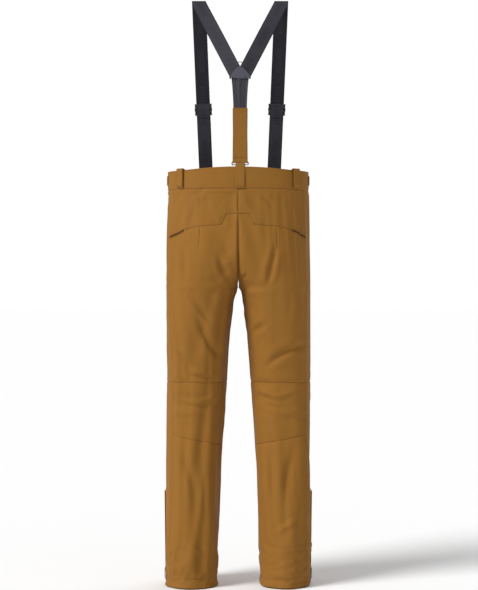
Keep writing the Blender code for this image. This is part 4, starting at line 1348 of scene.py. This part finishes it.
def turned(name, place, profile, material, steps=28):
    """A solid of revolution round a frame's Z axis, from a list of radius and height."""
    bm = bmesh.new()
    rings = []
    for r, z in profile:
        if r == 0:
            rings.append([bm.verts.new((0, 0, z))])
        else:
            rings.append([bm.verts.new((r * math.cos(a), r * math.sin(a), z))
                          for a in np.arange(steps) / steps * 2 * math.pi])
    for a, b in zip(rings, rings[1:]):
        for k in range(steps):
            j = (k + 1) % steps
            corners = [a[k % len(a)], a[j % len(a)], b[j % len(b)], b[k % len(b)]]
            bm.faces.new(list(dict.fromkeys(corners)))
    bmesh.ops.recalc_face_normals(bm, faces=bm.faces)
    bm.transform(place)
    return finished(name, mesh_of(name, bm), (material,), 45)


FLAP_RIPPLE = 0.0007
FLAP_GRAIN = (0.03, 0.03, 0.045)
FLAP_SEED = 61


def make_flap(low, high):
    """The fly's cover: one cloth flap sewn down along its hinge edge, free at the other."""
    # low and high are opposite corners of the CAD flap: x across, y outwards is negative
    hand = 1 if PIVOTS["fly_flap"][0] > (low.x + high.x) / 2 else -1
    sewn, free = (high.x, low.x) if hand > 0 else (low.x, high.x)
    z = np.linspace(high.z - 0.0005, low.z + 0.0005, 60)
    place, (_, _, half_depth) = plate_frame("fly_flap", DOWN, FORWARD)
    down = place.col[1]
    base = place.translation.y + half_depth + (z - place.translation.z) * down.y / down.z
    deep = 2 * half_depth
    middle = 0.4 * sewn + 0.6 * free
    section = np.array([(sewn, -0.0003), (sewn, -0.0019), (sewn - hand * 0.0035, -0.0036),
                        (sewn - hand * 0.0072, -deep + 0.0004), (sewn - hand * 0.010, -deep),
                        (middle, -deep - 0.0002), (free + hand * 0.0008, -deep), (free, -deep + 0.0007),
                        (free + hand * 0.0006, -deep + 0.0015), (middle, -deep + 0.0016),
                        (sewn - hand * 0.0095, -deep + 0.0017), (sewn - hand * 0.0055, -0.0032),
                        (sewn - hand * 0.0026, -0.0007)])
    closed = np.vstack([section, section[:1]])
    steps = running_length(closed)
    fine = np.linspace(0, steps[-1], 61)[:-1]
    outline = np.stack([np.interp(fine, steps, closed[:, k]) for k in range(2)], axis=1)
    points = np.empty((len(z), len(outline), 3))
    points[..., 0] = outline[None, :, 0]
    points[..., 1] = base[:, None] + outline[None, :, 1]
    points[..., 2] = z[:, None]
    loose = np.clip(np.abs(points[..., 0] - sewn) / 0.03, 0, 1)
    points[..., 1] += FLAP_RIPPLE * smooth_noise(points, FLAP_GRAIN, FLAP_SEED) * loose
    index = numbered(*points.shape[:2])
    faces = grid_faces(index, wrap=True).tolist() + [index[0, ::-1].tolist(), index[-1].tolist()]
    mesh = bpy.data.meshes.new("fly_flap_cloth")
    mesh.from_pydata(points.reshape(-1, 3).tolist(), [], faces)
    mesh.materials.append(MATERIALS["shell_ochre"])
    fix_normals(mesh)
    mesh.shade_smooth()
    mesh.set_sharp_from_angle(angle=math.radians(55))
    weave_from_place(mesh, Matrix.Rotation(math.pi / 2, 4, "X"))
    done(new_object("fly_flap_cloth", mesh), "fly_flap", ["fly_flap"])
    rows = []
    for x in (free + hand * 0.004, free + hand * 0.010):
        line = np.stack([np.full_like(z, x), base - deep - 0.0001, z], axis=1)
        loose = min(abs(x - sewn) / 0.03, 1)
        line[:, 1] += FLAP_RIPPLE * smooth_noise(line, FLAP_GRAIN, FLAP_SEED) * loose
        rows += stitch_shapes(line, np.tile([0, -1.0, 0], (len(z), 1)))
    done(merged("fly_flap_stitches", rows, "thread"), "fly_flap")


# ---- loops and tabs of the waistband -----------------------------------------------------------
def belt_loop(name, side, s, half_width):
    """A folded strip sewn to the band's foot, standing off it and hooked over its top edge."""
    top = float(band_top(s))
    across = unit(bare(side, s + 0.01, top - 0.02) - bare(side, s - 0.01, top - 0.02))
    out = normals(side, s, top - 0.02)
    out = unit(out - np.array([0, 0, out[2]]))
    low = BAND_BOTTOM + 0.001
    edge = cloth(side, s, top - 0.001, seams=False)
    foot = cloth(side, s, low + 0.004, seams=False)
    stand, skin = 0.0056, 0.0014
    inner = -0.0040
    flat = lambda d, z: edge + out * d + np.array([0, 0, z - edge[2]])
    foot_off = float(np.dot(foot - edge, out))
    outer_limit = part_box(name)
    crest = outer_limit[1].z - skin / 2
    profile = [(inner, top + 0.0014), (-0.0026, top + 0.0024), (0.0008, crest - 0.0007),
               (stand * 0.5, crest), (stand * 0.85, crest - 0.0010), (stand, crest - 0.0034),
               (stand + 0.0002, top - 0.008), (stand, top - 0.020), (stand + foot_off * 0.5, top - 0.034),
               (stand * 0.9 + foot_off, low + 0.0085), (0.0024 + foot_off, low + 0.0045),
               (0.0011 + foot_off, low + 0.0014)]
    line = smooth_line(profile, 6)
    centres = np.array([flat(d, z) for d, z in line])
    centres = centres + across * (0.0004 * np.sin(np.linspace(0, 9, len(centres))))[:, None]
    piece = sweep(name + "_cloth", centres, across, flat_section(half_width, skin, 9, 0.0002),
                  "shell_ochre", hint=-out)
    done(piece, "trousers", [name])
    rows = []
    direction = unit(np.gradient(centres, axis=0))
    face = unit(np.cross(across, direction))
    if np.dot(face[len(face) // 2], out) < 0:
        face = -face
    for k in (-1, 1):
        line = centres + across * (k * (half_width - 0.0028)) + face * (skin / 2 + 0.0001)
        rows += stitch_shapes(line[8:-2], face[8:-2])
    tack = np.array([centres[-5] + across * x + face[-5] * (skin / 2 + 0.0002)
                     for x in np.linspace(-half_width * 0.85, half_width * 0.85, 14)])
    for step in (-0.0006, 0.0, 0.0006):
        rows += stitch_shapes(tack + direction[-5] * step, np.tile(face[-5], (14, 1)), 0.0014, 0.0015)
    done(merged(name + "_stitches", rows, "thread"), "trousers")


def make_centre_loop():
    """The wide loop that carries the ring: up the band's outside, round the bar, down inside."""
    low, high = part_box("belt_loop_back")
    bar = Vector(PIVOTS["back_ring"])
    half_width = (high.x - low.x) / 2
    skin = 0.0013
    radius = high.z - bar.z - skin / 2
    edge_y = bare(1, 1.0, WAIST_TOP)[1]
    base_y = bare(1, 1.0, BAND_BOTTOM + 0.002)[1]
    path = [(base_y + 0.0012, BAND_BOTTOM + 0.0012), (base_y + 0.0024, BAND_BOTTOM + 0.010),
            (edge_y + 0.0035, -0.025), (bar.y + radius + 0.0004, -0.004)]
    path = list(smooth_line(path, 8))
    path += [(bar.y + radius * math.cos(a), bar.z + radius * math.sin(a))
             for a in np.radians(np.arange(0, 181, 12))]
    path += [(bar.y - radius + 0.0002, 0.004), (bar.y - radius - 0.0006, -0.011)]
    path = np.array(path)
    centres = np.stack([np.full(len(path), bar.x), path[:, 0], path[:, 1]], axis=1)
    sway = 0.0006 * np.sin(np.linspace(0, 5, len(path)))
    centres[:, 0] += sway
    done(sweep("belt_loop_back_cloth", centres, (1, 0, 0), flat_section(half_width, skin, 11, 0.0003),
               "shell_ochre", hint=(0, 1, 0)), "trousers", ["belt_loop_back"])
    tangent = unit(np.gradient(centres, axis=0))
    face = np.cross(tangent, (1.0, 0, 0))
    face *= np.sign(face[0, 1])
    rows = []
    for k in (-1, 1):
        line = centres + np.array([k * (half_width - 0.0030), 0, 0]) + face * (skin / 2 + 0.0002)
        rows += stitch_shapes(line[1:26], face[1:26])
    for z0 in (BAND_BOTTOM + 0.0040, BAND_BOTTOM + 0.0052):
        k = int(np.argmin(np.abs(centres[:20, 2] - z0)))
        line = np.array([centres[k] + np.array([x, 0, 0]) + face[k] * (skin / 2 + 0.0003)
                         for x in np.linspace(-half_width * 0.85, half_width * 0.85, 12)])
        rows += stitch_shapes(line, np.tile(face[k], (12, 1)), 0.0016, 0.0017)
    done(merged("belt_loop_back_stitches", rows, "thread"), "trousers")


def make_adjuster(label, side):
    """The hook-and-loop tab round the side of the band, cloth outside and pile inside."""
    s = np.linspace(-0.34, 0.10, 40)
    low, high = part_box("adjuster_tab_" + label)
    centre_z = (low.z + high.z) / 2
    half = (high.z - low.z) / 2
    z = np.full_like(s, centre_z)
    centres = bare(side, s, z, -0.0015)
    taper = np.ones(len(s))
    taper[:4] = (0.72, 0.88, 0.95, 0.99)
    piece = sweep(f"adjuster_tab_{label}_cloth", centres, (0, 0, 1), flat_section(half, 0.0017, 8, 0.0003),
                  "shell_ochre", scale=taper, hint=normals(side, s[0], z[0]), back_material="hook_and_loop")
    done(piece, "adjuster_tab_" + label, ["adjuster_tab_" + label])
    rows = []
    out = normals(side, s, z)
    for k in (-1, 1):
        rows += stitch_shapes(centres + np.array([0, 0, k * (half - 0.0024)]) + out * 0.0010, out)
    done(merged(f"adjuster_tab_{label}_stitches", rows, "thread"), "adjuster_tab_" + label)


# ---- gaiters -----------------------------------------------------------------------------------
def make_gaiter(label, side):
    """The snow gaiter: thin cloth with a gathered elastic hem, inside the leg."""
    low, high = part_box("snow_gaiter_" + label)
    s = np.linspace(-1, 1, 181)[:-1]
    z = np.linspace(high.z - 0.001, low.z + 0.001, 44)
    grid_z, grid_s = np.meshgrid(z, s, indexing="ij")
    depth = np.interp(-grid_z, [-high.z, -high.z + 0.02, -low.z - 0.08, -low.z],
                      [0.0072, 0.0095, 0.0115, 0.0137])
    points = bare(side, grid_s, grid_z, depth)
    n = normals(side, grid_s, grid_z)
    toward = np.clip((high.z - grid_z) / (high.z - low.z), 0, 1)
    gather = 0.0011 * np.sin(grid_s * 60 + 1.5 * np.sin(grid_s * 9)) * bell(toward, 0.93, 0.16)
    gather += 0.0008 * smooth_noise(points, (0.03, 0.03, 0.06), 71) * toward
    points = points + n * gather[..., None]
    quads = grid_faces(numbered(*points.shape[:2]), wrap=True)[:, [0, 3, 2, 1]]
    if side < 0:
        quads = quads[:, ::-1]
    mesh = bpy.data.meshes.new("gaiter")
    mesh.from_pydata(points.reshape(-1, 3).tolist(), [], quads.tolist())
    around = np.linalg.norm(np.diff(np.concatenate([points, points[:, :1]], axis=1), axis=1), axis=-1)
    set_weave(mesh, np.stack([np.cumsum(around, axis=1) - around, grid_z, 0 * grid_z], axis=-1))
    piece = finished(f"snow_gaiter_{label}_cloth", mesh, ("lining_grey",))
    solid = piece.modifiers.new("thickness", "SOLIDIFY")
    solid.thickness = 0.0008
    solid.use_even_offset = False
    done(piece, "trousers", ["snow_gaiter_" + label])


# ---- braces ------------------------------------------------------------------------------------
def make_ring():
    """The rectangular wire ring, with soft corners and a welded joint in one long side."""
    low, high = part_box("back_ring")
    wire = high.y - low.y
    x = (high.x - low.x - wire) / 2
    z = (high.z - low.z - wire) / 2
    centre = (low + high) / 2
    path = np.array(rounded_outline(2 * x, 2 * z, 0.0028, steps=8))
    path = dense_line(np.vstack([path, path[:1]]), 0.0012)[:-1]
    centres = np.stack([centre.x + path[:, 0], np.full(len(path), centre.y), centre.z + path[:, 1]], axis=1)
    weld = 1 + 0.16 * bell(path[:, 0], x * 0.25, 0.0012) * (path[:, 1] < 0)
    section = round_section(wire / 2 * 0.97, 12)
    sections = section[None] * weld[:, None, None]
    done(sweep("back_ring_wire", centres, (0, 1, 0), sections, "metal_black", closed=True), "back_ring",
         ["back_ring"])


def brace_axes():
    """Origin on the ring's upper bar, X across, Y up the back straps, Z outwards (away from the wearer)."""
    bar = Vector(PIVOTS["back_braces"])
    place, _ = plate_frame("back_stem", UP, (0, 1, 0))
    y = place.to_3x3() @ Vector((0, 1, 0))
    z = place.to_3x3() @ Vector((0, 0, 1))
    x = y.cross(z)
    return Matrix((*zip(x, y, z, bar), (0, 0, 0, 1)))


def make_back_column():
    """The covered elastic, the stem and the moulded joiner."""
    view = brace_axes()
    matrix = np.array(view)
    local = lambda points: placed(matrix, points)
    inverse = np.linalg.inv(matrix)
    elastic, stem, joiner = (placed(inverse, vertex_array(NODES[name].data))
                             for name in ("back_elastic", "back_stem", "y_joiner"))
    top = elastic[:, 1].max()
    half = elastic[:, 0].max()
    layer, skin, eye = 0.00095, 0.0012, 0.0023
    path = [(y, layer) for y in np.linspace(top, 0.0085, 70)]
    path += [(0.0055, layer + 0.0007)]
    path += [(eye * math.cos(a), eye * math.sin(a)) for a in np.radians(np.arange(60, 301, 12))]
    path += [(0.0055, -layer - 0.0007)]
    path += [(y, -layer) for y in np.linspace(0.0085, top, 70)]
    path = np.array(path)
    ripple = 0.00022 * np.sin(path[:, 0] * 2 * math.pi / 0.0075) * np.clip((path[:, 0] - 0.01) / 0.02, 0, 1)
    centres = local(np.stack([np.zeros(len(path)), path[:, 0], path[:, 1] + ripple], axis=1))
    swell = 1 + 0.03 * bell(path[:, 0], 0.0, 0.012) + 0.012 * np.sin(path[:, 0] * 60)
    done(sweep("back_elastic_cover", centres, matrix[:3, 0], flat_section(half * 0.985, skin, 13),
               "elastic_ochre", scale=swell, hint=matrix[:3, 2]),
         "back_braces", ["back_elastic"])
    rows = []
    for y in (top - 0.0035, top - 0.0105, 0.0105, 0.0125):
        line = local([(x, y, layer + skin / 2 + 0.0002) for x in np.linspace(-half * 0.92, half * 0.92, 20)])
        rows += stitch_shapes(line, np.tile(matrix[:3, 2], (20, 1)))
    for x in (-half * 0.86, half * 0.86):
        line = local([(x, y, layer + skin / 2 + 0.0002) for y in np.linspace(0.0125, top - 0.0035, 40)])
        rows += stitch_shapes(line, np.tile(matrix[:3, 2], (40, 1)))
    done(merged("back_elastic_stitches", rows, "thread"), "back_braces")

    # The stem: two straps lying together, flared into the joiner, with soft lengthwise pleats
    y0, y1 = stem[:, 1].min() - 0.006, stem[:, 1].max()
    w0, w1 = 0.0180, stem[:, 0].max()
    y = np.linspace(y0, y1, 50)
    t = (y - y0) / (y1 - y0)
    width = w0 + (w1 - w0) * (0.25 * t + 0.75 * t ** 2.2)
    section = flat_section(1.0, 0.0019, 31)
    sections = np.repeat(section[None], len(y), axis=0)
    u = sections[..., 0]
    pleat = 0.0011 * (0.3 + 0.7 * t[:, None]) * (np.cos(u * 5.2 + 0.4) + 0.5 * np.cos(u * 11.0 + 1.1))
    sections[..., 1] += pleat - pleat.mean()
    scaled = sections.copy()
    scaled[..., 0] *= width[:, None]
    middle = local(np.stack([y * 0, y, y * 0 - 0.0001], axis=1))
    done(sweep("back_stem_webbing", middle, matrix[:3, 0], scaled, "webbing_stem", hint=matrix[:3, 2]),
         "back_braces", ["back_stem"])

    # The joiner: a triangle with hollow sides over a rib with a lug at each end
    base, tip = joiner[:, 1].min(), joiner[:, 1].max()
    lug = joiner[:, 0].max()
    z = (joiner[:, 2].min() + joiner[:, 2].max()) / 2
    thick = joiner[:, 2].max() - joiner[:, 2].min()
    hollow = [(0.0245 * (1 - k) + 0.0012, base + 0.0050 + (tip - base - 0.0050) * (k ** 0.72))
              for k in np.linspace(0, 1, 14)]
    foot = [(x, base + 0.0030 - 0.0022 * (1 - (x / 0.026) ** 2)) for x in np.linspace(-0.0245, 0.0245, 13)]
    plate = foot + hollow + [(-x, y) for x, y in hollow[::-1]]
    plate = [(x, y) for i, (x, y) in enumerate(plate) if i == 0 or math.dist((x, y), plate[i - 1]) > 1e-5]
    parts = [shaped_plate("joiner_plate", plate, thick * 0.8, view, "plastic_slate", 0.0007, 3, z)]
    bow = [(x, base + 0.0024 - 0.0020 * (1 - (x / lug) ** 2) - 0.0012 * (x / lug), z + 0.0002)
           for x in np.linspace(-lug + 0.001, lug - 0.001, 25)]
    parts.append(sweep("joiner_rib", local(bow), matrix[:3, 1], flat_section(0.0017, thick, 5),
                       "plastic_slate"))
    for k in (-1, 1):
        post = [(k * (lug - 0.0022), base + y, z - 0.0004) for y in np.linspace(-0.0028, 0.0086, 9)]
        fat = np.sin(np.linspace(0.25, math.pi - 0.25, 9)) ** 0.4
        sections = round_section(0.0023, 10)[None] * fat[:, None, None]
        parts.append(sweep("joiner_lug", local(post), matrix[:3, 0], sections, "plastic_dark"))
    ring = [(0.0062 * math.cos(a), tip + 0.0035 + 0.0070 * math.sin(a), z - 0.0012)
            for a in np.radians(np.arange(0, 360, 10))]
    parts.append(sweep("joiner_ring", local(ring), matrix[:3, 2], round_section(0.0010, 8), "plastic_dark",
                       closed=True))
    done(join_pieces("y_joiner_moulded", parts), "back_braces", ["y_joiner"])
    return view


def strap_path(label, side, view):
    """The strap's centreline from the joiner over the shoulder to its foot, with its width."""
    hinge = PIVOTS["front_strap_" + label]
    matrix = np.array(view)
    radius = 0.0060
    centre = hinge + np.array([0, radius + WEB / 2, 0.0010])
    start = matrix[:3, :3] @ np.array([-side * 0.0146, 0.2465, 0.0]) + matrix[:3, 3]
    arc = [centre + np.array([0, radius * math.cos(a), radius * math.sin(a)])
           for a in np.radians(np.arange(0, 181, 9))]
    slanted = matrix[:3, :3] @ np.array([-0.74, -0.67 * side, 0.0])
    # The end is cut level, where the joiner's rib covers it
    inverse = np.linalg.inv(matrix)
    cut = min((inverse @ np.append(np.array(v.co), 1))[1] for v in NODES["y_joiner"].data.vertices) + 0.0030
    slope = (inverse[:3, :3] @ (arc[0] - start))[0] / (inverse[:3, :3] @ (arc[0] - start))[1]
    under = -0.0005 if side > 0 else -0.0025
    start = matrix[:3, :3] @ np.array([-side * 0.0146 + (cut - 0.2465) * slope, cut, under]) + matrix[:3, 3]
    up = unit(arc[0] - start)
    rise = float(matrix[:3, 1] @ up)
    straight, widths = [], []
    for t in np.linspace(0, 1, 61)[:-1]:
        blend = smooth_step((t - 0.5) / 0.5)
        point = start * (1 - t) + arc[0] * t
        straight.append(point + np.array([0, 0.0020 * math.sin(math.pi * t) ** 3, 0]))
        widths.append(unit(slanted * (1 - blend) + np.array([1.0, 0, 0]) * blend))
    place, (_, half_y, _) = plate_frame("front_strap_" + label, DOWN, FORWARD)
    along = np.array(place.to_3x3() @ Vector((0, 1, 0)))
    cross = np.array(place.to_3x3() @ Vector((1, 0, 0)))
    cross *= np.sign(cross[0])
    foot = np.array(place.translation) + along * half_y
    head = np.array(place.translation) - along * half_y
    front = [head + (foot - head) * t for t in np.linspace(0.002, 1, 120)]
    return (np.array(straight), np.array(widths), up, rise), np.array(arc), (np.array(front), cross, along)


def make_strap(label, side, view):
    """One shoulder strap with its doubled end, slide, foot and tab."""
    (straight, widths, up, rise), arc, (front, cross, along) = strap_path(label, side, view)
    section = flat_section(WEB_HALF, WEB, 13)
    body = "front_strap_" + label
    split = 7
    back = np.vstack([straight, arc[:split + 1]])
    back_width = np.vstack([widths, np.tile([1.0, 0, 0], (split + 1, 1))])
    piece = sweep(f"shoulder_strap_{label}_webbing", back, back_width, section, "webbing_slate",
                  back_material="webbing_back", hint=(0, 1, 0))
    points = np.array([v.co for v in piece.data.vertices]).reshape(len(back), -1, 3)
    level_up = np.array(view.to_3x3() @ Vector((0, 1, 0)))
    fade = np.clip(1 - running_length(back) / 0.07, 0, 1)[:, None]
    off = (points - back[:, None]) @ level_up
    points -= (off * fade / rise)[..., None] * up
    piece.data.vertices.foreach_set("co", points.ravel())
    piece.data.update()
    done(piece, "back_braces", ["shoulder_strap_" + label])
    bend = np.vstack([arc[split:-1], front[:5]])
    bend_width = np.tile([1.0, 0, 0], (len(bend), 1))
    bend_width[-5:] = cross
    fold = sweep(f"shoulder_fold_{label}", bend, bend_width, section, "webbing_slate",
                 back_material="webbing_back", hint=arc[split] - arc.mean(0))
    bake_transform(fold)
    piece = sweep(f"front_strap_{label}_webbing", front[4:], cross, section, "webbing_slate",
                  back_material="webbing_back", hint=FORWARD)
    done(piece, body, ["front_strap_" + label])

    # Below the adjuster the strap runs back up on its inner side, its right face showing
    place, sizes = plate_frame("strap_adjuster_" + label, DOWN, FORWARD)
    at = np.array(place.translation)
    inner = np.cross(cross, along)
    inner *= np.sign(inner[1])
    foot = front[-1]
    span = np.dot(foot - at, along)
    reach = np.concatenate([[0.010, 0.014, 0.020, 0.030], np.linspace(0.045, span - 0.006, 50)])
    lift = np.interp(reach, [0.010, 0.018, 0.035, 0.08], [0.0040, 0.0034, 0.0024, 0.0021])
    second = at + along * reach[:, None] + inner * lift[:, None]
    piece = sweep(f"front_strap_{label}_return", second, cross,
                  flat_section(WEB_HALF * 0.995, WEB * 0.95, 13), "webbing_slate", hint=inner, v0=0.031)
    done(piece, body)
    make_strap_adjuster(label, at, sizes, cross, along, inner)
    tab_place, tab_half = plate_frame("front_tab_" + label, DOWN, FORWARD)
    tab_down = np.array(tab_place.to_3x3() @ Vector((0, 1, 0)))
    tab_top = np.array(tab_place.translation) - tab_down * (tab_half[1] - 0.007)
    ends = smooth_line([foot - along * 0.008, foot - along * 0.003, tab_top - tab_down * 0.004, tab_top], 6)
    bridge = sweep(f"strap_foot_{label}", ends, cross, flat_section(WEB_HALF * 1.01, WEB * 1.25, 13),
                   "webbing_slate", hint=FORWARD)
    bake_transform(bridge)
    make_front_tab(label)


def make_strap_adjuster(label, at, sizes, cross, along, inner):
    """The moulded slide: two rounded side posts and three bars, with the strap's end round one bar."""
    body = "strap_adjuster_" + label
    half_x, half_y, half_z = sizes
    local = lambda x, y, z: at + cross * x + along * y + inner * z
    parts = []
    for k in (-1, 1):
        y = np.linspace(-half_y, half_y, 21)
        wave = 0.0006 * np.cos(y / half_y * 2 * math.pi)
        centres = np.array([local(k * (half_x - 0.0023 + w), a, 0) for a, w in zip(y, wave)])
        fat = (1 - (np.abs(y) / half_y) ** 6 * 0.45)
        sections = flat_section(half_z * 0.96, 0.0042, 6)[None] * np.stack([fat, fat], axis=1)[:, None, :]
        parts.append(sweep("post", centres, inner, sections, "plastic_dark"))
    for y, z in ((-0.0125, half_z - 0.0012), (0.0125, half_z - 0.0012), (0.0, -half_z + 0.0012)):
        centres = np.array([local(x, y, z + 0.0003 * math.cos(x / half_x * 1.5))
                            for x in np.linspace(-half_x + 0.003, half_x - 0.003, 15)])
        parts.append(sweep("bar", centres, along, flat_section(0.0034, 0.0022, 5, 0.0002), "plastic_dark"))
    for k in (-1, 0, 1):
        grip = np.array([local(x, -0.0125 + k * 0.0018, half_z - 0.0001)
                         for x in np.linspace(-half_x * 0.7, half_x * 0.7, 9)])
        parts.append(sweep("grip", grip, along, round_section(0.0004, 6), "plastic_dark"))
    done(join_pieces(f"strap_adjuster_{label}_moulded", parts), body, [body])
    # The strap's end, wrapped over the slide's inner face
    y = np.array([-0.0085, -0.0098, -0.0085, -0.004, 0.002, 0.008, 0.0135, 0.019, 0.0225])
    z = np.array([0.0030, 0.0046, 0.0060, 0.0064, 0.0063, 0.0062, 0.0060, 0.0052, 0.0046])
    line = smooth_line(np.stack([y, z], axis=1), 5)
    centres = np.array([local(0, a, b) for a, b in line])
    done(sweep(f"strap_end_{label}", centres, cross, flat_section(WEB_HALF, WEB * 0.9, 11, 0.0003),
               "webbing_slate", hint=inner, v0=0.012), body)


def make_front_tab(label):
    """The hook-and-loop tab at a strap's foot: webbing outside, hooks behind, sewn in a box."""
    name = "front_tab_" + label
    place, (half_x, half_y, half_z) = plate_frame(name, DOWN, FORWARD)
    outline = [(-half_x, -half_y), (half_x, -half_y)]
    corner = [(0.008 * math.cos(a), 0.008 * math.sin(a)) for a in np.radians(np.arange(0, 91, 15))]
    outline += [(half_x - 0.008 + x, half_y - 0.008 + y) for x, y in corner]
    outline += [(-half_x + 0.008 - y, half_y - 0.008 + x) for x, y in corner]
    outer = shaped_plate("tab_outer", outline, half_z * 1.25, place, "webbing_slate", 0.0005, 3,
                         half_z * 0.35)
    hooks = [(x * 0.92, y * 0.94) for x, y in outline]
    pad = shaped_plate("tab_hooks", hooks, half_z * 0.7, place, "hook_and_loop", 0.0002, 1, -half_z * 0.6)
    done(join_pieces(name + "_sewn", [outer, pad]), name, [name])
    rows = box_stitch(2 * half_x - 0.006, 2 * half_y - 0.008, place, cross=True, lift=half_z * 0.98)
    done(merged(name + "_stitches", rows, "thread_dark"), name)
    patch = "loop_patch_" + label
    place, (half_x, half_y, half_z) = plate_frame(patch, DOWN, FORWARD)
    done(shaped_plate(patch + "_pile", rounded_outline(2 * half_x, 2 * half_y, 0.004), 2 * half_z, place,
                      "hook_and_loop", 0.0004, 2), "trousers", [patch])
    rows = box_stitch(2 * half_x - 0.004, 2 * half_y - 0.004, place, lift=half_z)
    done(merged(patch + "_stitches", rows, "thread_dark"), "trousers")


measure_beds()
measure_drape()
make_trousers()
make_seams()
make_back_pockets()
for label, side in SIDES:
    make_zip("pocket", label)
    make_zip("cuff", label)
    belt_loop("belt_loop_side_" + label, side, 0.43, 0.0105)
    belt_loop("belt_loop_front_" + label, side, -0.50, 0.0105)
    make_adjuster(label, side)
    make_gaiter(label, side)
make_fly()
make_centre_loop()
make_ring()
BACK_VIEW = make_back_column()
for label, side in SIDES:
    make_strap(label, side, BACK_VIEW)

# ---- stage -----------------------------------------------------------------------------------
CAMERA_DISTANCE = 4.5
KEY = 2.55
FAR = 0.75
SURROUND = 0.34
VIEW_HEIGHT = 1.6048        # what the picture shows, in metres at the garment's middle
FLOOR_SIDES = 48


def make_stage():
    """A pale flat floor, just below the hems, in rings out to the horizon."""
    floor_z = HEM - 0.003
    rings = [0.0, 0.6, 1.5, 3.0, 6.0, 12.0, 30.0, 80.0]
    bm = bmesh.new()
    loops = [[bm.verts.new((r * x, r * y, floor_z)) for x, y in zip(*circle(FLOOR_SIDES))]
             if r else [bm.verts.new((0, 0, floor_z))] for r in rings]
    for inner, outer in zip(loops, loops[1:]):
        for k in range(FLOOR_SIDES):
            j = (k + 1) % FLOOR_SIDES
            corners = [inner[k % len(inner)], outer[k], outer[j], inner[j % len(inner)]]
            bm.faces.new(list(dict.fromkeys(corners)))
    bmesh.ops.recalc_face_normals(bm, faces=bm.faces)
    mesh = mesh_of("studio_floor", bm)
    floor = new_object("studio_floor", mesh)
    material, shader, _ = node_material("paper", (0.94, 0.94, 0.94), 0.95)
    shader.inputs["Specular IOR Level"].default_value = 0.0
    mesh.materials.append(material)


def sun_light(name, direction, strength, spread):
    data = bpy.data.lights.new(name, "SUN")
    data.energy = strength
    data.angle = math.radians(spread)
    light = bpy.data.objects.new(name, data)
    light.rotation_euler = Vector(direction).to_track_quat("-Z", "Y").to_euler()
    bpy.context.scene.collection.objects.link(light)


def make_lights():
    """A broad soft key from the upper left of the camera, a weaker one from the far side, and a
    white surround that shows at full strength only as the backdrop."""
    sun_light("key", (-0.80, -0.55, -0.85), KEY, 24)
    sun_light("far_side", (0.35, 0.75, -0.95), FAR, 50)
    world = bpy.data.worlds.new("studio")
    bpy.context.scene.world = world
    world.use_nodes = True
    tree = world.node_tree
    surround = tree.nodes["Background"]
    surround.inputs["Color"].default_value = (1, 1, 1, 1)
    surround.inputs["Strength"].default_value = SURROUND
    backdrop = tree.nodes.new("ShaderNodeBackground")
    backdrop.inputs["Strength"].default_value = 1.0
    backdrop.inputs["Color"].default_value = (1, 1, 1, 1)
    seen = tree.nodes.new("ShaderNodeLightPath")
    choose = tree.nodes.new("ShaderNodeMixShader")
    tree.links.new(seen.outputs["Is Camera Ray"], choose.inputs[0])
    tree.links.new(surround.outputs[0], choose.inputs[1])
    tree.links.new(backdrop.outputs[0], choose.inputs[2])
    tree.links.new(choose.outputs[0], tree.nodes["World Output"].inputs["Surface"])
    bpy.context.scene.view_settings.view_transform = "Standard"


def make_camera():
    data = bpy.data.cameras.new("camera")
    data.sensor_fit = "VERTICAL"
    data.sensor_height = 36.0
    data.lens = data.sensor_height * CAMERA_DISTANCE / VIEW_HEIGHT
    camera = bpy.data.objects.new("camera", data)
    camera.location = (-0.002, CAMERA_DISTANCE, -0.333)
    camera.rotation_euler = (math.pi / 2, 0, math.pi)
    bpy.context.scene.collection.objects.link(camera)
    bpy.context.scene.camera = camera


make_stage()
make_lights()
make_camera()
